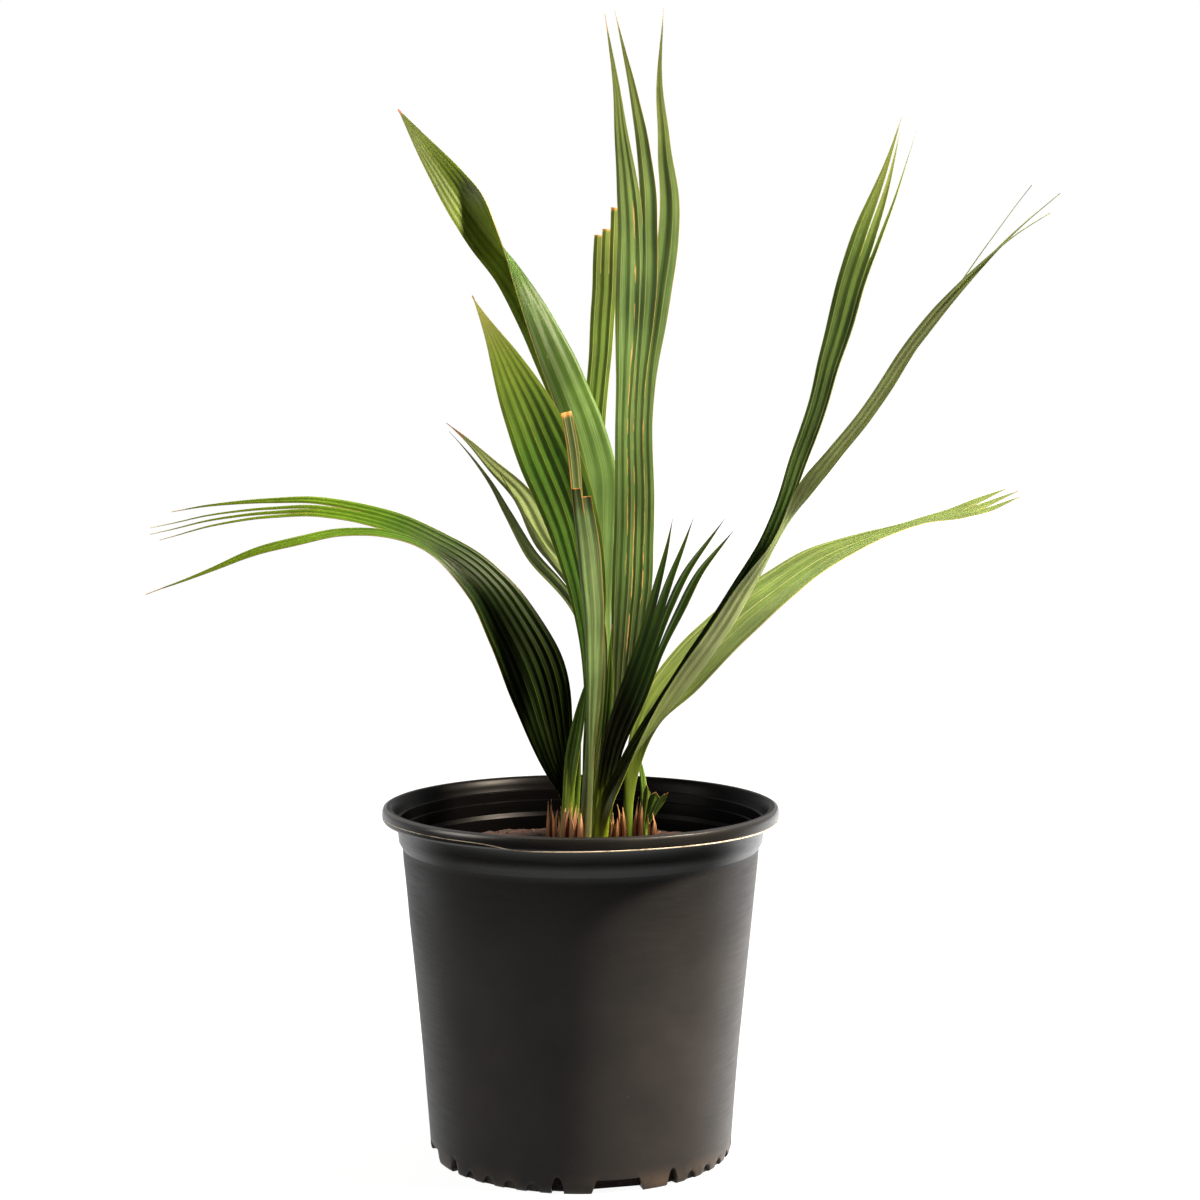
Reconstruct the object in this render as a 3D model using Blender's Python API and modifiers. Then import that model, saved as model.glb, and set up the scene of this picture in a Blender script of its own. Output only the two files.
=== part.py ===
"""A young dwarf palmetto in its black nursery pot.

Each frond grows as one piece, petiole and pleated blade together, and stands in a hole in the soil.
The origin is under the middle of the pot, +Z is up, and -Y is the side that the plant is seen from.
"""
import math

import bmesh
import bpy
import numpy as np
from mathutils import Matrix, Vector

MM = 0.001
GAP = 0.3
MERGE = 0.00001

# The pot, a container of about 11 litres: radius and height down its outer side, in millimetres.
LIP_OUTSIDE = [(133.0, 245.4), (134.6, 246.8), (137.0, 247.0), (139.2, 246.0), (140.0, 244.0),
               (140.0, 239.0), (139.2, 237.6), (137.8, 237.8), (137.4, 242.0), (135.2, 243.4),
               (132.6, 240.6)]
BODY_OUTSIDE = [(129.8, 233.0), (128.4, 221.0), (127.9, 213.5), (126.4, 210.6), (126.0, 204.5),
                (124.6, 201.0), (117.0, 123.0), (113.2, 82.0), (110.0, 42.0), (107.8, 14.0),
                (107.2, 4.0), (106.6, 1.0), (105.6, 0.0)]
WALL = 1.8
LIP_THINNING, LIP_DROP = 0.8, 4.0
FLOOR = 2.4
FOOT_THICKNESS = 4.6
FOOT_HEIGHT = 12.0
FOOT_STEP = 1.0
POT_STEPS = 44

# The foot has four drain openings, a tall arch at each side of them and small crimps between.
DRAIN_AZIMUTH = -76.0
DRAIN_WIDTH, DRAIN_TOP_WIDTH, DRAIN_HEIGHT = 42.0, 30.0, 9.5
DRAIN_INSET, DRAIN_REACH = 4.0, 14.0
ARCH_STEP, ARCH_WIDTH, ARCH_HEIGHT = 22.0, 8.5, 12.0
ARCH_OUT, ARCH_IN = 3.0, 2.0
CRIMP_STEPS = [31.2, 40.4, 49.6, 58.8]
CRIMP_WIDTH, CRIMP_HEIGHT, CRIMP_DEPTH = 9.5, 6.5, 3.0
ARCH_SIDES = 10

# The soil lies 35 mm under the rim and rises a little to the crown of the plant.
SOIL_TOP = 211.0
MOUND_HEIGHT, MOUND_SPREAD = 8.0, 42.0
SOIL_EDGE_DEPTH = 5.0
SOIL_STEPS = 32
SOIL_GAP = 0.4
HOLE_SIDES = 10
HOLE_CLEARANCE = 1.3
HOLE_DEPTH = 40.0
SOIL_RINGS = [0.0, 15.0, 30.0, 45.0, 62.0, 85.0]

# The blades: their thickness, the angle of their pleats, and how sharply they fold at the rib.
BLADE_THICKNESS = 0.95
PETIOLE_THICKNESS = 3.4
TIP_WIDTH = 1.6
PLEAT_ANGLE = 30.0
PLEAT_START, PLEAT_GROWTH = 0.6, 0.8
FULL_PLEAT_WIDTH, LEAST_PLEAT = 1.6, 0.3
HINGE_SHARE = 0.2
SMALL_SHARE = 0.01

# A finger tapers, drifts and flattens by these powers. A strap leaves its blade with a short lead along
# the blade's own line, and turns its own way over its first stretch.
TAPER, DRIFT, FLATTEN = 1.6, 1.7, 1.5
STRAP_LEAD, STRAP_TURN = 0.05, 0.15

# How far up the blade its petiole's thickness fades out, and how fast.
STALK_REACH, STALK_FULLNESS = 1.3, 1.6
LINE_SAMPLES = 240
VIEWER = np.array((0.0, -1.0, 0.0))

BLADE_DARK = (0.030, 0.085, 0.018)
BLADE_BRIGHT = (0.090, 0.230, 0.022)
BLADE_GREY = (0.100, 0.180, 0.080)
BLADE_YELLOW = (0.210, 0.330, 0.060)
SHEATH_TAN = (0.340, 0.200, 0.100)
SOIL_BROWN = (0.040, 0.018, 0.012)
POT_BLACK = (0.012, 0.012, 0.012)
LEAF_ROUGHNESS, SHEATH_ROUGHNESS, POT_ROUGHNESS, SOIL_ROUGHNESS = 0.5, 0.8, 0.45, 0.95

# How far a leaf's foot stands in the soil, which the stations below give as a height of 208 mm.
LEAF_SEAT = 3.0

# A station is x, y, z and the blade's width in millimetres, then its turn and its fold in degrees.
# Turn 0 faces the viewer with the upper side, and 180 with the underside. Fold 0 is a flat blade.
# Pleat is the angle of a frond's pleats, where it is flatter than the usual one.
# A finger is the share of the width that it takes, where its slit starts and where it ends along
# the blade or strap, how far it drifts aside, and how pointed it is: 1 to a tip, 0 cut square.
WHOLE = [(0.0, 1.0, 0.55, 1.0, (0, 0, 0), 1)]
FRONDS = {
    "frond_left_arching": dict(
        colour=BLADE_DARK, pleats=8, pleat=22, rows=17, petiole=0.14, split=0.8,
        stations=[(-11, 3, 208, 7, 10, 0), (-9, 4, 249, 11, 12, 0), (-16, 3, 275, 25, 20, 10),
                  (-23, 2, 301, 37, 25, 20), (-31, 0, 332, 48, 30, 25), (-48, -3, 370, 47, 42, 26),
                  (-69, -7, 402, 40, 53, 20), (-89, -11, 420, 32, 64, 12),
                  (-108, -15, 432, 28, 70, 6)],
        straps=[
            dict(share=(0.0, 0.375), fingers=[(0.0, 0.375, 0.3, 1.0, (0, 0, 0), 1)],
                 path=[(-108, -20, 431, 14, 74), (-134, -26, 440, 14, 72), (-162, -33, 441, 14, 66),
                       (-191, -40, 436, 13, 55), (-224, -46, 427, 12, 45), (-254, -50, 415, 9, 45),
                       (-295, -54, 399, 6, 45)]),
            dict(share=(0.375, 1.0),
                 fingers=[(0.375, 0.5, 0.5, 0.97, (0, -6, -5), 1), (0.5, 0.625, 0.5, 1.0, (0, -3, -2), 1),
                          (0.625, 0.75, 0.4, 1.0, (0, 0, 0), 1), (0.75, 1.0, 0.4, 0.97, (6, 9, 6), 1)],
                 path=[(-151, -6, 452, 22, 68), (-187, 1, 457, 20, 62), (-220, 8, 456, 18, 56),
                       (-265, 16, 450, 16, 50), (-306, 24, 441, 14, 45)]),
        ]),
    "frond_left_tall": dict(
        colour=BLADE_GREY, pleats=7, pleat=9, rows=18, petiole=0.12, fingers=[(0.0, 1.0, 0.84, 1.0, (0, 0, 0), 1)],
        stations=[(6, 20, 208, 8, 0, 0), (13, 25, 275, 12, 0, 60), (19, 33, 333, 24, 0, 120),
                  (22, 42, 390, 39, 0, 158), (25, 50, 436, 57, 0, 164), (25, 56, 482, 69, 0, 165),
                  (16, 61, 517, 68, 0, 164), (6, 66, 540, 65, 0, 162), (-8, 72, 570, 61, 2, 158),
                  (-24, 77, 597, 53, 6, 150), (-45, 82, 627, 41, 14, 130), (-69, 87, 655, 35, 20, 84),
                  (-90, 93, 683, 31, 24, 40), (-112, 101, 714, 29, 26, 16),
                  (-136, 110, 748, 26, 26, 6)]),
    "frond_left_bright": dict(
        colour=BLADE_BRIGHT, pleats=6, pleat=12, rows=16, petiole=0.18,
        fingers=[(0.0, 1.0, 0.68, 1.0, (0, 0, 0), 1)],
        stations=[(3, -3, 208, 8, 0, 0), (6, -1, 279, 9, 0, 10), (8, -1, 321, 11, 4, 10),
                  (7, -1, 371, 20, 4, 10), (1, -1, 420, 33, 4, 10), (-13, 0, 469, 42, 4, 10),
                  (-31, 2, 511, 44, 4, 10), (-51, 6, 556, 41, 4, 8), (-76, 12, 605, 22, 4, 4)]),
    "frond_left_ragged": dict(
        colour=BLADE_GREY, pleats=5, pleat=16, rows=16, petiole=0.2, split=0.86,
        stations=[(-1, 8, 208, 7, 180, 0), (8, 8, 277, 9, 180, 0), (12, 7, 327, 12, 180, 10),
                  (11, 7, 362, 16, 184, 12), (3, 9, 388, 22, 186, 12), (-11, 11, 412, 26, 188, 12)],
        straps=[
            dict(share=(0.0, 0.5), fingers=[(0.0, 0.5, 0.4, 1.0, (0, 0, 0), 1)],
                 path=[(-25, 12, 435, 18, 188), (-41, 16, 464, 16, 186), (-62, 20, 485, 14, 184),
                       (-79, 24, 502, 11, 182), (-96, 28, 516, 9, 180)]),
            dict(share=(0.5, 1.0),
                 fingers=[(0.5, 0.7, 0.0, 0.74, (3, 0, 2), 1), (0.7, 1.0, 0.0, 1.0, (0, 0, 0), 1)],
                 path=[(-33, 7, 427, 17, 186), (-49, 8, 454, 15, 184), (-63, 10, 477, 12, 182),
                       (-76, 12, 494, 10, 180), (-92, 14, 511, 8, 180)]),
        ]),
    "frond_front_cut": dict(
        colour=BLADE_GREY, pleats=4, pleat=16, rows=18, petiole=0.2,
        fingers=[(0.0, 0.25, 0.78, 0.815, (0, 0, 0), 0), (0.25, 0.5, 0.78, 0.835, (0, 0, 0), 0),
                 (0.5, 1.0, 0.78, 1.0, (0, 0, 0), 0)],
        stations=[(2, -18, 208, 8, 180, 0), (4, -19, 243, 8, 184, 20), (5, -21, 288, 10, 192, 90),
                  (5, -23, 323, 19, 200, 128), (4, -25, 351, 25, 205, 138),
                  (2, -27, 393, 31, 205, 142), (-2, -29, 431, 33, 205, 142),
                  (-5, -31, 463, 27, 198, 146), (-8, -33, 494, 22, 188, 150),
                  (-13, -36, 522, 20, 185, 150)]),
    "frond_middle_tall": dict(
        colour=BLADE_GREY, pleats=6, pleat=14, rows=17, petiole=0.16, split=0.86,
        stations=[(15, 11, 208, 8, 0, 0), (20, 12, 262, 11, 2, 0), (28, 15, 312, 16, 4, 4),
                  (33, 18, 355, 24, 6, 6), (36, 21, 397, 29, 8, 6), (38, 24, 461, 29, 8, 6),
                  (38, 27, 532, 28, 8, 6), (41, 29, 573, 35, 6, 6)],
        straps=[
            dict(share=(0.0, 0.5), fingers=[(0.0, 0.5, 0.5, 1.0, (0, 0, 0), 1)],
                 path=[(35, 30, 603, 21, 4), (35, 34, 660, 18, 2), (29, 39, 718, 13, 0),
                       (24, 44, 764, 9, 0), (17, 49, 806, 7, 0)]),
            dict(share=(0.5, 0.75), fingers=[(0.5, 0.75, 0.5, 1.0, (0, 0, 0), 1)],
                 path=[(48, 31, 613, 12, 4), (46, 38, 696, 12, 2), (37, 44, 753, 10, 0),
                       (24, 51, 809, 7, 0)]),
            dict(share=(0.75, 1.0), fingers=[(0.75, 1.0, 0.5, 1.0, (0, 0, 0), 1)],
                 path=[(57, 33, 609, 15, 4), (63, 38, 661, 15, 2), (59, 45, 718, 11, 0),
                       (56, 51, 761, 8, 0), (59, 57, 812, 6, 0)]),
        ]),
    "frond_back_cut": dict(
        colour=BLADE_YELLOW, pleats=3, pleat=16, rows=14, petiole=0.14,
        fingers=[(0.0, 0.34, 0.9, 0.955, (0, 0, 0), 0), (0.34, 0.67, 0.9, 0.965, (0, 0, 0), 0),
                 (0.67, 1.0, 0.9, 1.0, (0, 0, 0), 0)],
        stations=[(15, 23, 208, 7, 0, 0), (15, 34, 289, 9, 0, 0), (14, 47, 361, 13, 0, 0),
                  (10, 60, 432, 16, 0, 0), (9, 69, 504, 17, 0, 0), (12, 74, 547, 17, 0, 0),
                  (15, 78, 583, 18, 0, 0), (17, 82, 626, 18, 0, 0), (19, 87, 674, 18, 0, 0)]),
    "frond_right_fan": dict(
        colour=BLADE_DARK, pleats=4, rows=16, petiole=0.25, split=0.9,
        stations=[(14, -3, 208, 9, 0, 0), (16, -3, 251, 12, 0, 10), (23, -4, 287, 17, -6, 20),
                  (36, -11, 323, 24, -12, 26), (49, -18, 358, 25, -16, 26),
                  (53, -21, 369, 25, -18, 26)],
        straps=[
            dict(share=(0.0, 0.5), fingers=[(0.0, 0.25, 0.3, 0.97, (-6, 0, 0), 1),
                                            (0.25, 0.5, 0.3, 1.0, (3, 0, 0), 1)],
                 path=[(54, -25, 393, 14, -16), (62, -29, 418, 13, -14), (73, -36, 452, 11, -10)]),
            dict(share=(0.5, 0.75), fingers=[(0.5, 0.75, 0.4, 1.0, (0, 0, 0), 1)],
                 path=[(61, -27, 388, 7, -16), (73, -32, 414, 7, -14), (99, -42, 450, 6, -10)]),
            dict(share=(0.75, 1.0), fingers=[(0.75, 1.0, 0.4, 1.0, (0, 0, 0), 1)],
                 path=[(68, -28, 386, 8, -16), (82, -34, 414, 8, -14), (105, -43, 442, 7, -10)]),
        ]),
    "frond_right_tall": dict(
        colour=BLADE_GREY, pleats=6, pleat=18, rows=19, petiole=0.14, split=0.9,
        stations=[(10, -13, 208, 9, 0, 0), (17, -13, 246, 11, 0, 40), (33, -12, 276, 14, 0, 90),
                  (61, -12, 313, 24, 0, 150), (93, -15, 355, 33, 0, 155), (118, -22, 397, 31, 0, 150),
                  (139, -30, 441, 21, 10, 110), (144, -33, 452, 20, 12, 90)],
        straps=[
            dict(share=(0.0, 0.5),
                 fingers=[(0.0, 0.25, 0.68, 1.0, (0, 0, 0), 1), (0.25, 0.417, 0.68, 0.97, (-3, 2, 0), 1),
                          (0.417, 0.5, 0.6, 0.97, (6, 4, 2), 1)],
                 path=[(150, -32, 490, 13, 8), (163, -31, 528, 14, 4), (171, -30, 559, 16, 2),
                       (179, -29, 586, 19, 0), (186, -28, 613, 20, 0), (195, -26, 640, 21, 0),
                       (205, -23, 668, 19, 0), (214, -20, 694, 15, 0), (223, -17, 724, 11, 0)]),
            dict(share=(0.5, 1.0),
                 fingers=[(0.5, 0.583, 0.42, 0.97, (-12, 6, 14), 1), (0.583, 0.833, 0.55, 1.0, (0, 0, 0), 1),
                          (0.833, 1.0, 0.55, 0.98, (0, -6, -12), 1)],
                 path=[(158, -42, 476, 12, -50), (169, -46, 490, 11, -66), (190, -54, 517, 10, -72),
                       (217, -66, 558, 11, -74), (236, -74, 585, 12, -74), (258, -82, 612, 12, -74),
                       (284, -93, 640, 12, -74), (312, -104, 665, 10, -74)]),
        ]),
    "frond_right_arching": dict(
        colour=BLADE_YELLOW, pleats=6, pleat=16, rows=17, petiole=0.16,
        fingers=[(0.0, 0.333, 0.9, 0.985, (0, 0, 1), 1), (0.333, 0.667, 0.9, 1.0, (0, 0, 0), 1),
                 (0.667, 1.0, 0.9, 0.995, (0, 0, -1), 1)],
        stations=[(35, 2, 208, 7, 0, 0), (34, 2, 249, 7, 0, 0), (38, 5, 278, 12, -6, 10),
                  (51, 10, 311, 24, -20, 20), (74, 16, 336, 42, -34, 24), (102, 22, 362, 53, -46, 26),
                  (136, 30, 390, 59, -54, 26), (171, 40, 414, 52, -60, 24),
                  (209, 51, 431, 36, -68, 20), (247, 63, 443, 26, -76, 14),
                  (278, 73, 450, 24, -66, 10), (297, 79, 456, 25, -60, 6), (323, 86, 466, 20, -60, 4)]),
    "leaf_small_left": dict(
        colour=BLADE_BRIGHT, pleats=3, rows=10, petiole=0.45, fingers=WHOLE,
        stations=[(-12, -12, 208, 7, 0, 0), (-9, -12, 251, 8, 0, 10), (-6, -12, 280, 10, 0, 30),
                  (-1, -13, 308, 12, 0, 30), (6, -13, 343, 9, 0, 20)]),
    "leaf_small_front": dict(
        colour=BLADE_BRIGHT, pleats=2, rows=8, petiole=0.5, fingers=WHOLE,
        stations=[(-4, -10, 208, 6, 0, 0), (-4, -9, 251, 7, 0, 10), (-2, -9, 280, 7, 0, 20),
                  (1, -10, 308, 6, 0, 10)]),
    "leaf_spear": dict(
        colour=BLADE_BRIGHT, pleats=2, rows=10, petiole=0.4, fingers=WHOLE,
        stations=[(8, 4, 208, 6, 0, 0), (15, 4, 256, 6, 0, 0), (18, 3, 295, 7, 0, 20),
                  (20, 2, 327, 8, 0, 30), (22, 0, 374, 7, 0, 10)]),
    "leaf_torn_stub": dict(
        colour=BLADE_BRIGHT, pleats=2, rows=10, petiole=0.6, fingers=WHOLE,
        stations=[(46, 0, 208, 6, 0, 0), (45, 0, 238, 6, 0, 0), (45, 2, 253, 5, 0, 0),
                  (43, 6, 271, 5, 0, 0), (39, 10, 288, 4, 0, 0)]),
    "leaf_torn_fan": dict(
        colour=BLADE_BRIGHT, pleats=3, rows=7, petiole=0.4,
        fingers=[(0.0, 0.334, 0.87, 0.98, (-1, 0, 2), 1), (0.334, 0.667, 0.88, 0.95, (0, 0, 0), 1),
                 (0.667, 1.0, 0.85, 1.0, (1, 0, -1), 1)],
        stations=[(49, -4, 208, 4, 0, 0), (46, -5, 231, 4, 0, 0), (49, -6, 243, 12, 0, 10),
                  (54, -8, 259, 22, 0, 10)]),
}

# Dry brown scraps of old leaf sheath round the crown: foot, top, width and height of each. A scrap bows
# outwards at its middle, which lies nearer to its top than its foot.
SCRAP_MIDDLE, SCRAP_BOW = 0.6, 1.04
SCRAP_ROWS, SCRAP_TOP_WIDTH = 5, 0.8
SHEATHS = [((-19, -7), (-20, -9), 9, 254), ((-9, -18), (-7, -20), 12, 255), ((-4, -24), (-1, -26), 10, 249),
           ((20, -8), (24, -10), 8, 245), ((28, -5), (28, -8), 7, 248), ((38, -3), (40, -5), 8, 254),
           ((48, -10), (49, -13), 8, 243), ((26, 7), (27, 8), 8, 240), ((-10, 11), (-13, 13), 9, 243)]


def clear_scene():
    for thing in list(bpy.data.objects):
        bpy.data.objects.remove(thing, do_unlink=True)


def collection(name):
    group = bpy.data.collections.new(name)
    bpy.context.scene.collection.children.link(group)
    return group


def material(name, colour, roughness):
    made = bpy.data.materials.new(name)
    made.use_nodes = True
    shader = made.node_tree.nodes["Principled BSDF"]
    shader.inputs["Base Color"].default_value = (*colour, 1.0)
    shader.inputs["Roughness"].default_value = roughness
    shader.inputs["Metallic"].default_value = 0.0
    return made


def new_object(name, mesh, group, finish):
    thing = bpy.data.objects.new(name, mesh)
    group.objects.link(thing)
    if finish:
        mesh.materials.append(finish)
    return thing


def turned(name, profile, steps, group, finish):
    """A profile of radius and height in millimetres, turned round the Z axis."""
    mesh = bpy.data.meshes.new(name)
    points = [(radius * MM, 0.0, height * MM) for radius, height in profile]
    mesh.from_pydata(points, [(i, i + 1) for i in range(len(points) - 1)], [])
    thing = new_object(name, mesh, group, finish)
    spin = thing.modifiers.new("turn", "SCREW")
    spin.steps = spin.render_steps = steps
    spin.use_merge_vertices = True
    spin.merge_threshold = MERGE
    return thing


def cut(thing, cutters):
    boolean = thing.modifiers.new("cut", "BOOLEAN")
    boolean.operation = "DIFFERENCE"
    boolean.operand_type = "COLLECTION"
    boolean.collection = cutters
    boolean.solver = "EXACT"


def inner_wall():
    """The inside of the pot, from the corner of its floor up to its neck."""
    foot = BODY_OUTSIDE[-3][0] - FOOT_THICKNESS
    wall = [(radius - WALL, height) for radius, height in reversed(BODY_OUTSIDE)
            if height > FOOT_HEIGHT + FOOT_STEP]
    return [(foot, FLOOR), (foot, FOOT_HEIGHT)] + wall


def make_pot(group, cutters, finish):
    top = LIP_OUTSIDE[0][0] - WALL * LIP_THINNING
    profile = [(0.0, FLOOR)] + inner_wall() + [(top, LIP_OUTSIDE[0][1] - LIP_DROP)]
    profile += LIP_OUTSIDE + BODY_OUTSIDE + [(0.0, 0.0)]
    pot = turned("pot", profile, POT_STEPS, group, finish)
    cut(pot, cutters)
    return pot


def notch(name, azimuth, width, height, reach, group):
    """A half-round opening in the foot, reaching inwards from outside the wall."""
    shape = bmesh.new()
    bmesh.ops.create_cone(shape, cap_ends=True, segments=ARCH_SIDES, radius1=1.0, radius2=1.0, depth=1.0)
    length = reach + ARCH_OUT
    middle = BODY_OUTSIDE[-3][0] + ARCH_OUT - length / 2
    for vert in shape.verts:
        x, y, z = vert.co
        vert.co = ((middle + z * length) * MM, x * width / 2 * MM, y * height * MM)
    finish_notch(name, shape, azimuth, group)


def drain(name, azimuth, group):
    """A drain opening, narrower at its top."""
    shape = bmesh.new()
    bmesh.ops.create_cube(shape, size=1.0)
    for vert in shape.verts:
        x, y, z = vert.co
        width = DRAIN_TOP_WIDTH if z > 0 else DRAIN_WIDTH
        vert.co = ((BODY_OUTSIDE[-1][0] - DRAIN_INSET + x * DRAIN_REACH) * MM, y * width * MM,
                   (DRAIN_HEIGHT if z > 0 else -DRAIN_HEIGHT) * MM)
    finish_notch(name, shape, azimuth, group)


def finish_notch(name, shape, azimuth, group):
    bmesh.ops.rotate(shape, verts=shape.verts, cent=(0, 0, 0), matrix=turn_z(azimuth))
    bmesh.ops.recalc_face_normals(shape, faces=shape.faces)
    mesh = bpy.data.meshes.new(name)
    shape.to_mesh(mesh)
    shape.free()
    as_cutter(new_object(name, mesh, group, None))


def as_cutter(thing):
    thing.hide_render = True
    thing.display_type = "WIRE"


def turn_z(degrees):
    return Matrix.Rotation(math.radians(degrees), 3, "Z")


def make_foot_cutters(group):
    for side in range(4):
        centre = DRAIN_AZIMUTH + 90 * side
        drain(f"drain_{side}", centre, group)
        for way in (-1, 1):
            notch(f"arch_{side}_{way}", centre + way * ARCH_STEP, ARCH_WIDTH, ARCH_HEIGHT,
                  FOOT_THICKNESS + ARCH_IN, group)
        for step in CRIMP_STEPS:
            notch(f"crimp_{side}_{step:.0f}", centre + step, CRIMP_WIDTH, CRIMP_HEIGHT, CRIMP_DEPTH, group)


def soil_height(radius):
    return SOIL_TOP + MOUND_HEIGHT * math.exp(-(radius / MOUND_SPREAD) ** 2)


def make_soil(group, cutters, finish):
    wall = [(radius - SOIL_GAP, max(height, FLOOR + GAP)) for radius, height in inner_wall()
            if height < SOIL_TOP - SOIL_EDGE_DEPTH]
    edge = wall[-1][0] + GAP
    top = [(radius, soil_height(radius)) for radius in SOIL_RINGS]
    profile = top + [(edge, soil_height(edge))] + wall[::-1] + [(0.0, FLOOR + GAP)]
    soil = turned("soil", profile, SOIL_STEPS, group, finish)
    cut(soil, cutters)
    return soil


def make_hole(name, station, above, group):
    """The hole that a petiole stands in, along the petiole's own line."""
    foot, way = Vector(station[:3]), (Vector(above[:3]) - Vector(station[:3])).normalized()
    shape = bmesh.new()
    bmesh.ops.create_cone(shape, cap_ends=True, segments=HOLE_SIDES, radius1=1.0, radius2=1.0,
                          depth=HOLE_DEPTH)
    side = station[3] / 2 + HOLE_CLEARANCE
    front = PETIOLE_THICKNESS / 2 + HOLE_CLEARANCE
    bmesh.ops.scale(shape, verts=shape.verts, vec=(side, front, 1.0))
    lean = Vector((0, 0, 1)).rotation_difference(way).to_matrix().to_4x4()
    place = Matrix.Translation(foot + way * (HOLE_DEPTH / 2 - GAP)) @ lean
    bmesh.ops.transform(shape, verts=shape.verts, matrix=Matrix.Scale(MM, 4) @ place)
    mesh = bpy.data.meshes.new(name)
    shape.to_mesh(mesh)
    shape.free()
    as_cutter(new_object(name, mesh, group, None))


def unit(rows):
    return rows / np.linalg.norm(rows, axis=-1, keepdims=True)


def smooth_line(rows):
    """Rows of a table, read along a smooth curve through them."""
    rows = np.array(rows, float)
    steps = np.linalg.norm(np.diff(rows[:, :3], axis=0), axis=1)
    at = np.concatenate(([0.0], np.cumsum(steps)))
    slopes = np.gradient(rows, at, axis=0)
    where = np.linspace(0.0, at[-1], LINE_SAMPLES)
    i = np.clip(np.searchsorted(at, where, side="right") - 1, 0, len(steps) - 1)
    h = steps[i][:, None]
    u = (where[:, None] - at[i][:, None]) / h
    return ((1 + 2 * u) * (1 - u) ** 2 * rows[i] + u * (1 - u) ** 2 * h * slopes[i]
            + u * u * (3 - 2 * u) * rows[i + 1] - u * u * (1 - u) * h * slopes[i + 1])


def with_frames(line):
    """A line's rows with the directions across the blade and out of its upper side added."""
    along = unit(np.gradient(line[:, :3], axis=0))
    right = unit(np.cross(along, VIEWER))
    front = np.cross(right, along)
    turn = np.radians(line[:, 4:5])
    across = right * np.cos(turn) - front * np.sin(turn)
    out = front * np.cos(turn) + right * np.sin(turn)
    return np.hstack((line, across, out))


def length_of(line):
    return np.sum(np.linalg.norm(np.diff(line[:, :3], axis=0), axis=1))


def read(line, share):
    places = np.linspace(0.0, 1.0, len(line))
    return np.array([np.interp(share, places, line[:, k]) for k in range(line.shape[1])])


def section(columns, width, fold, pleat):
    """The cut across a blade: where each column line lies, along the blade's width and out of it."""
    middle = (np.arange(columns) + 0.5) / columns
    bend = np.clip((middle - 0.5) / HINGE_SHARE + 0.5, 0.0, 1.0)
    heading = np.radians(fold) * bend + np.radians(pleat) * np.where(np.arange(columns) % 2, -1.0, 1.0)
    step = width / columns
    x = np.concatenate(([0.0], np.cumsum(np.cos(heading) * step)))
    y = np.concatenate(([0.0], np.cumsum(np.sin(heading) * step)))
    return x - x[columns // 2], y - y[columns // 2]


def at_share(points, share):
    places = np.linspace(0.0, 1.0, len(points[0]))
    return np.interp(share, places, points[0]), np.interp(share, places, points[1])


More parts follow.
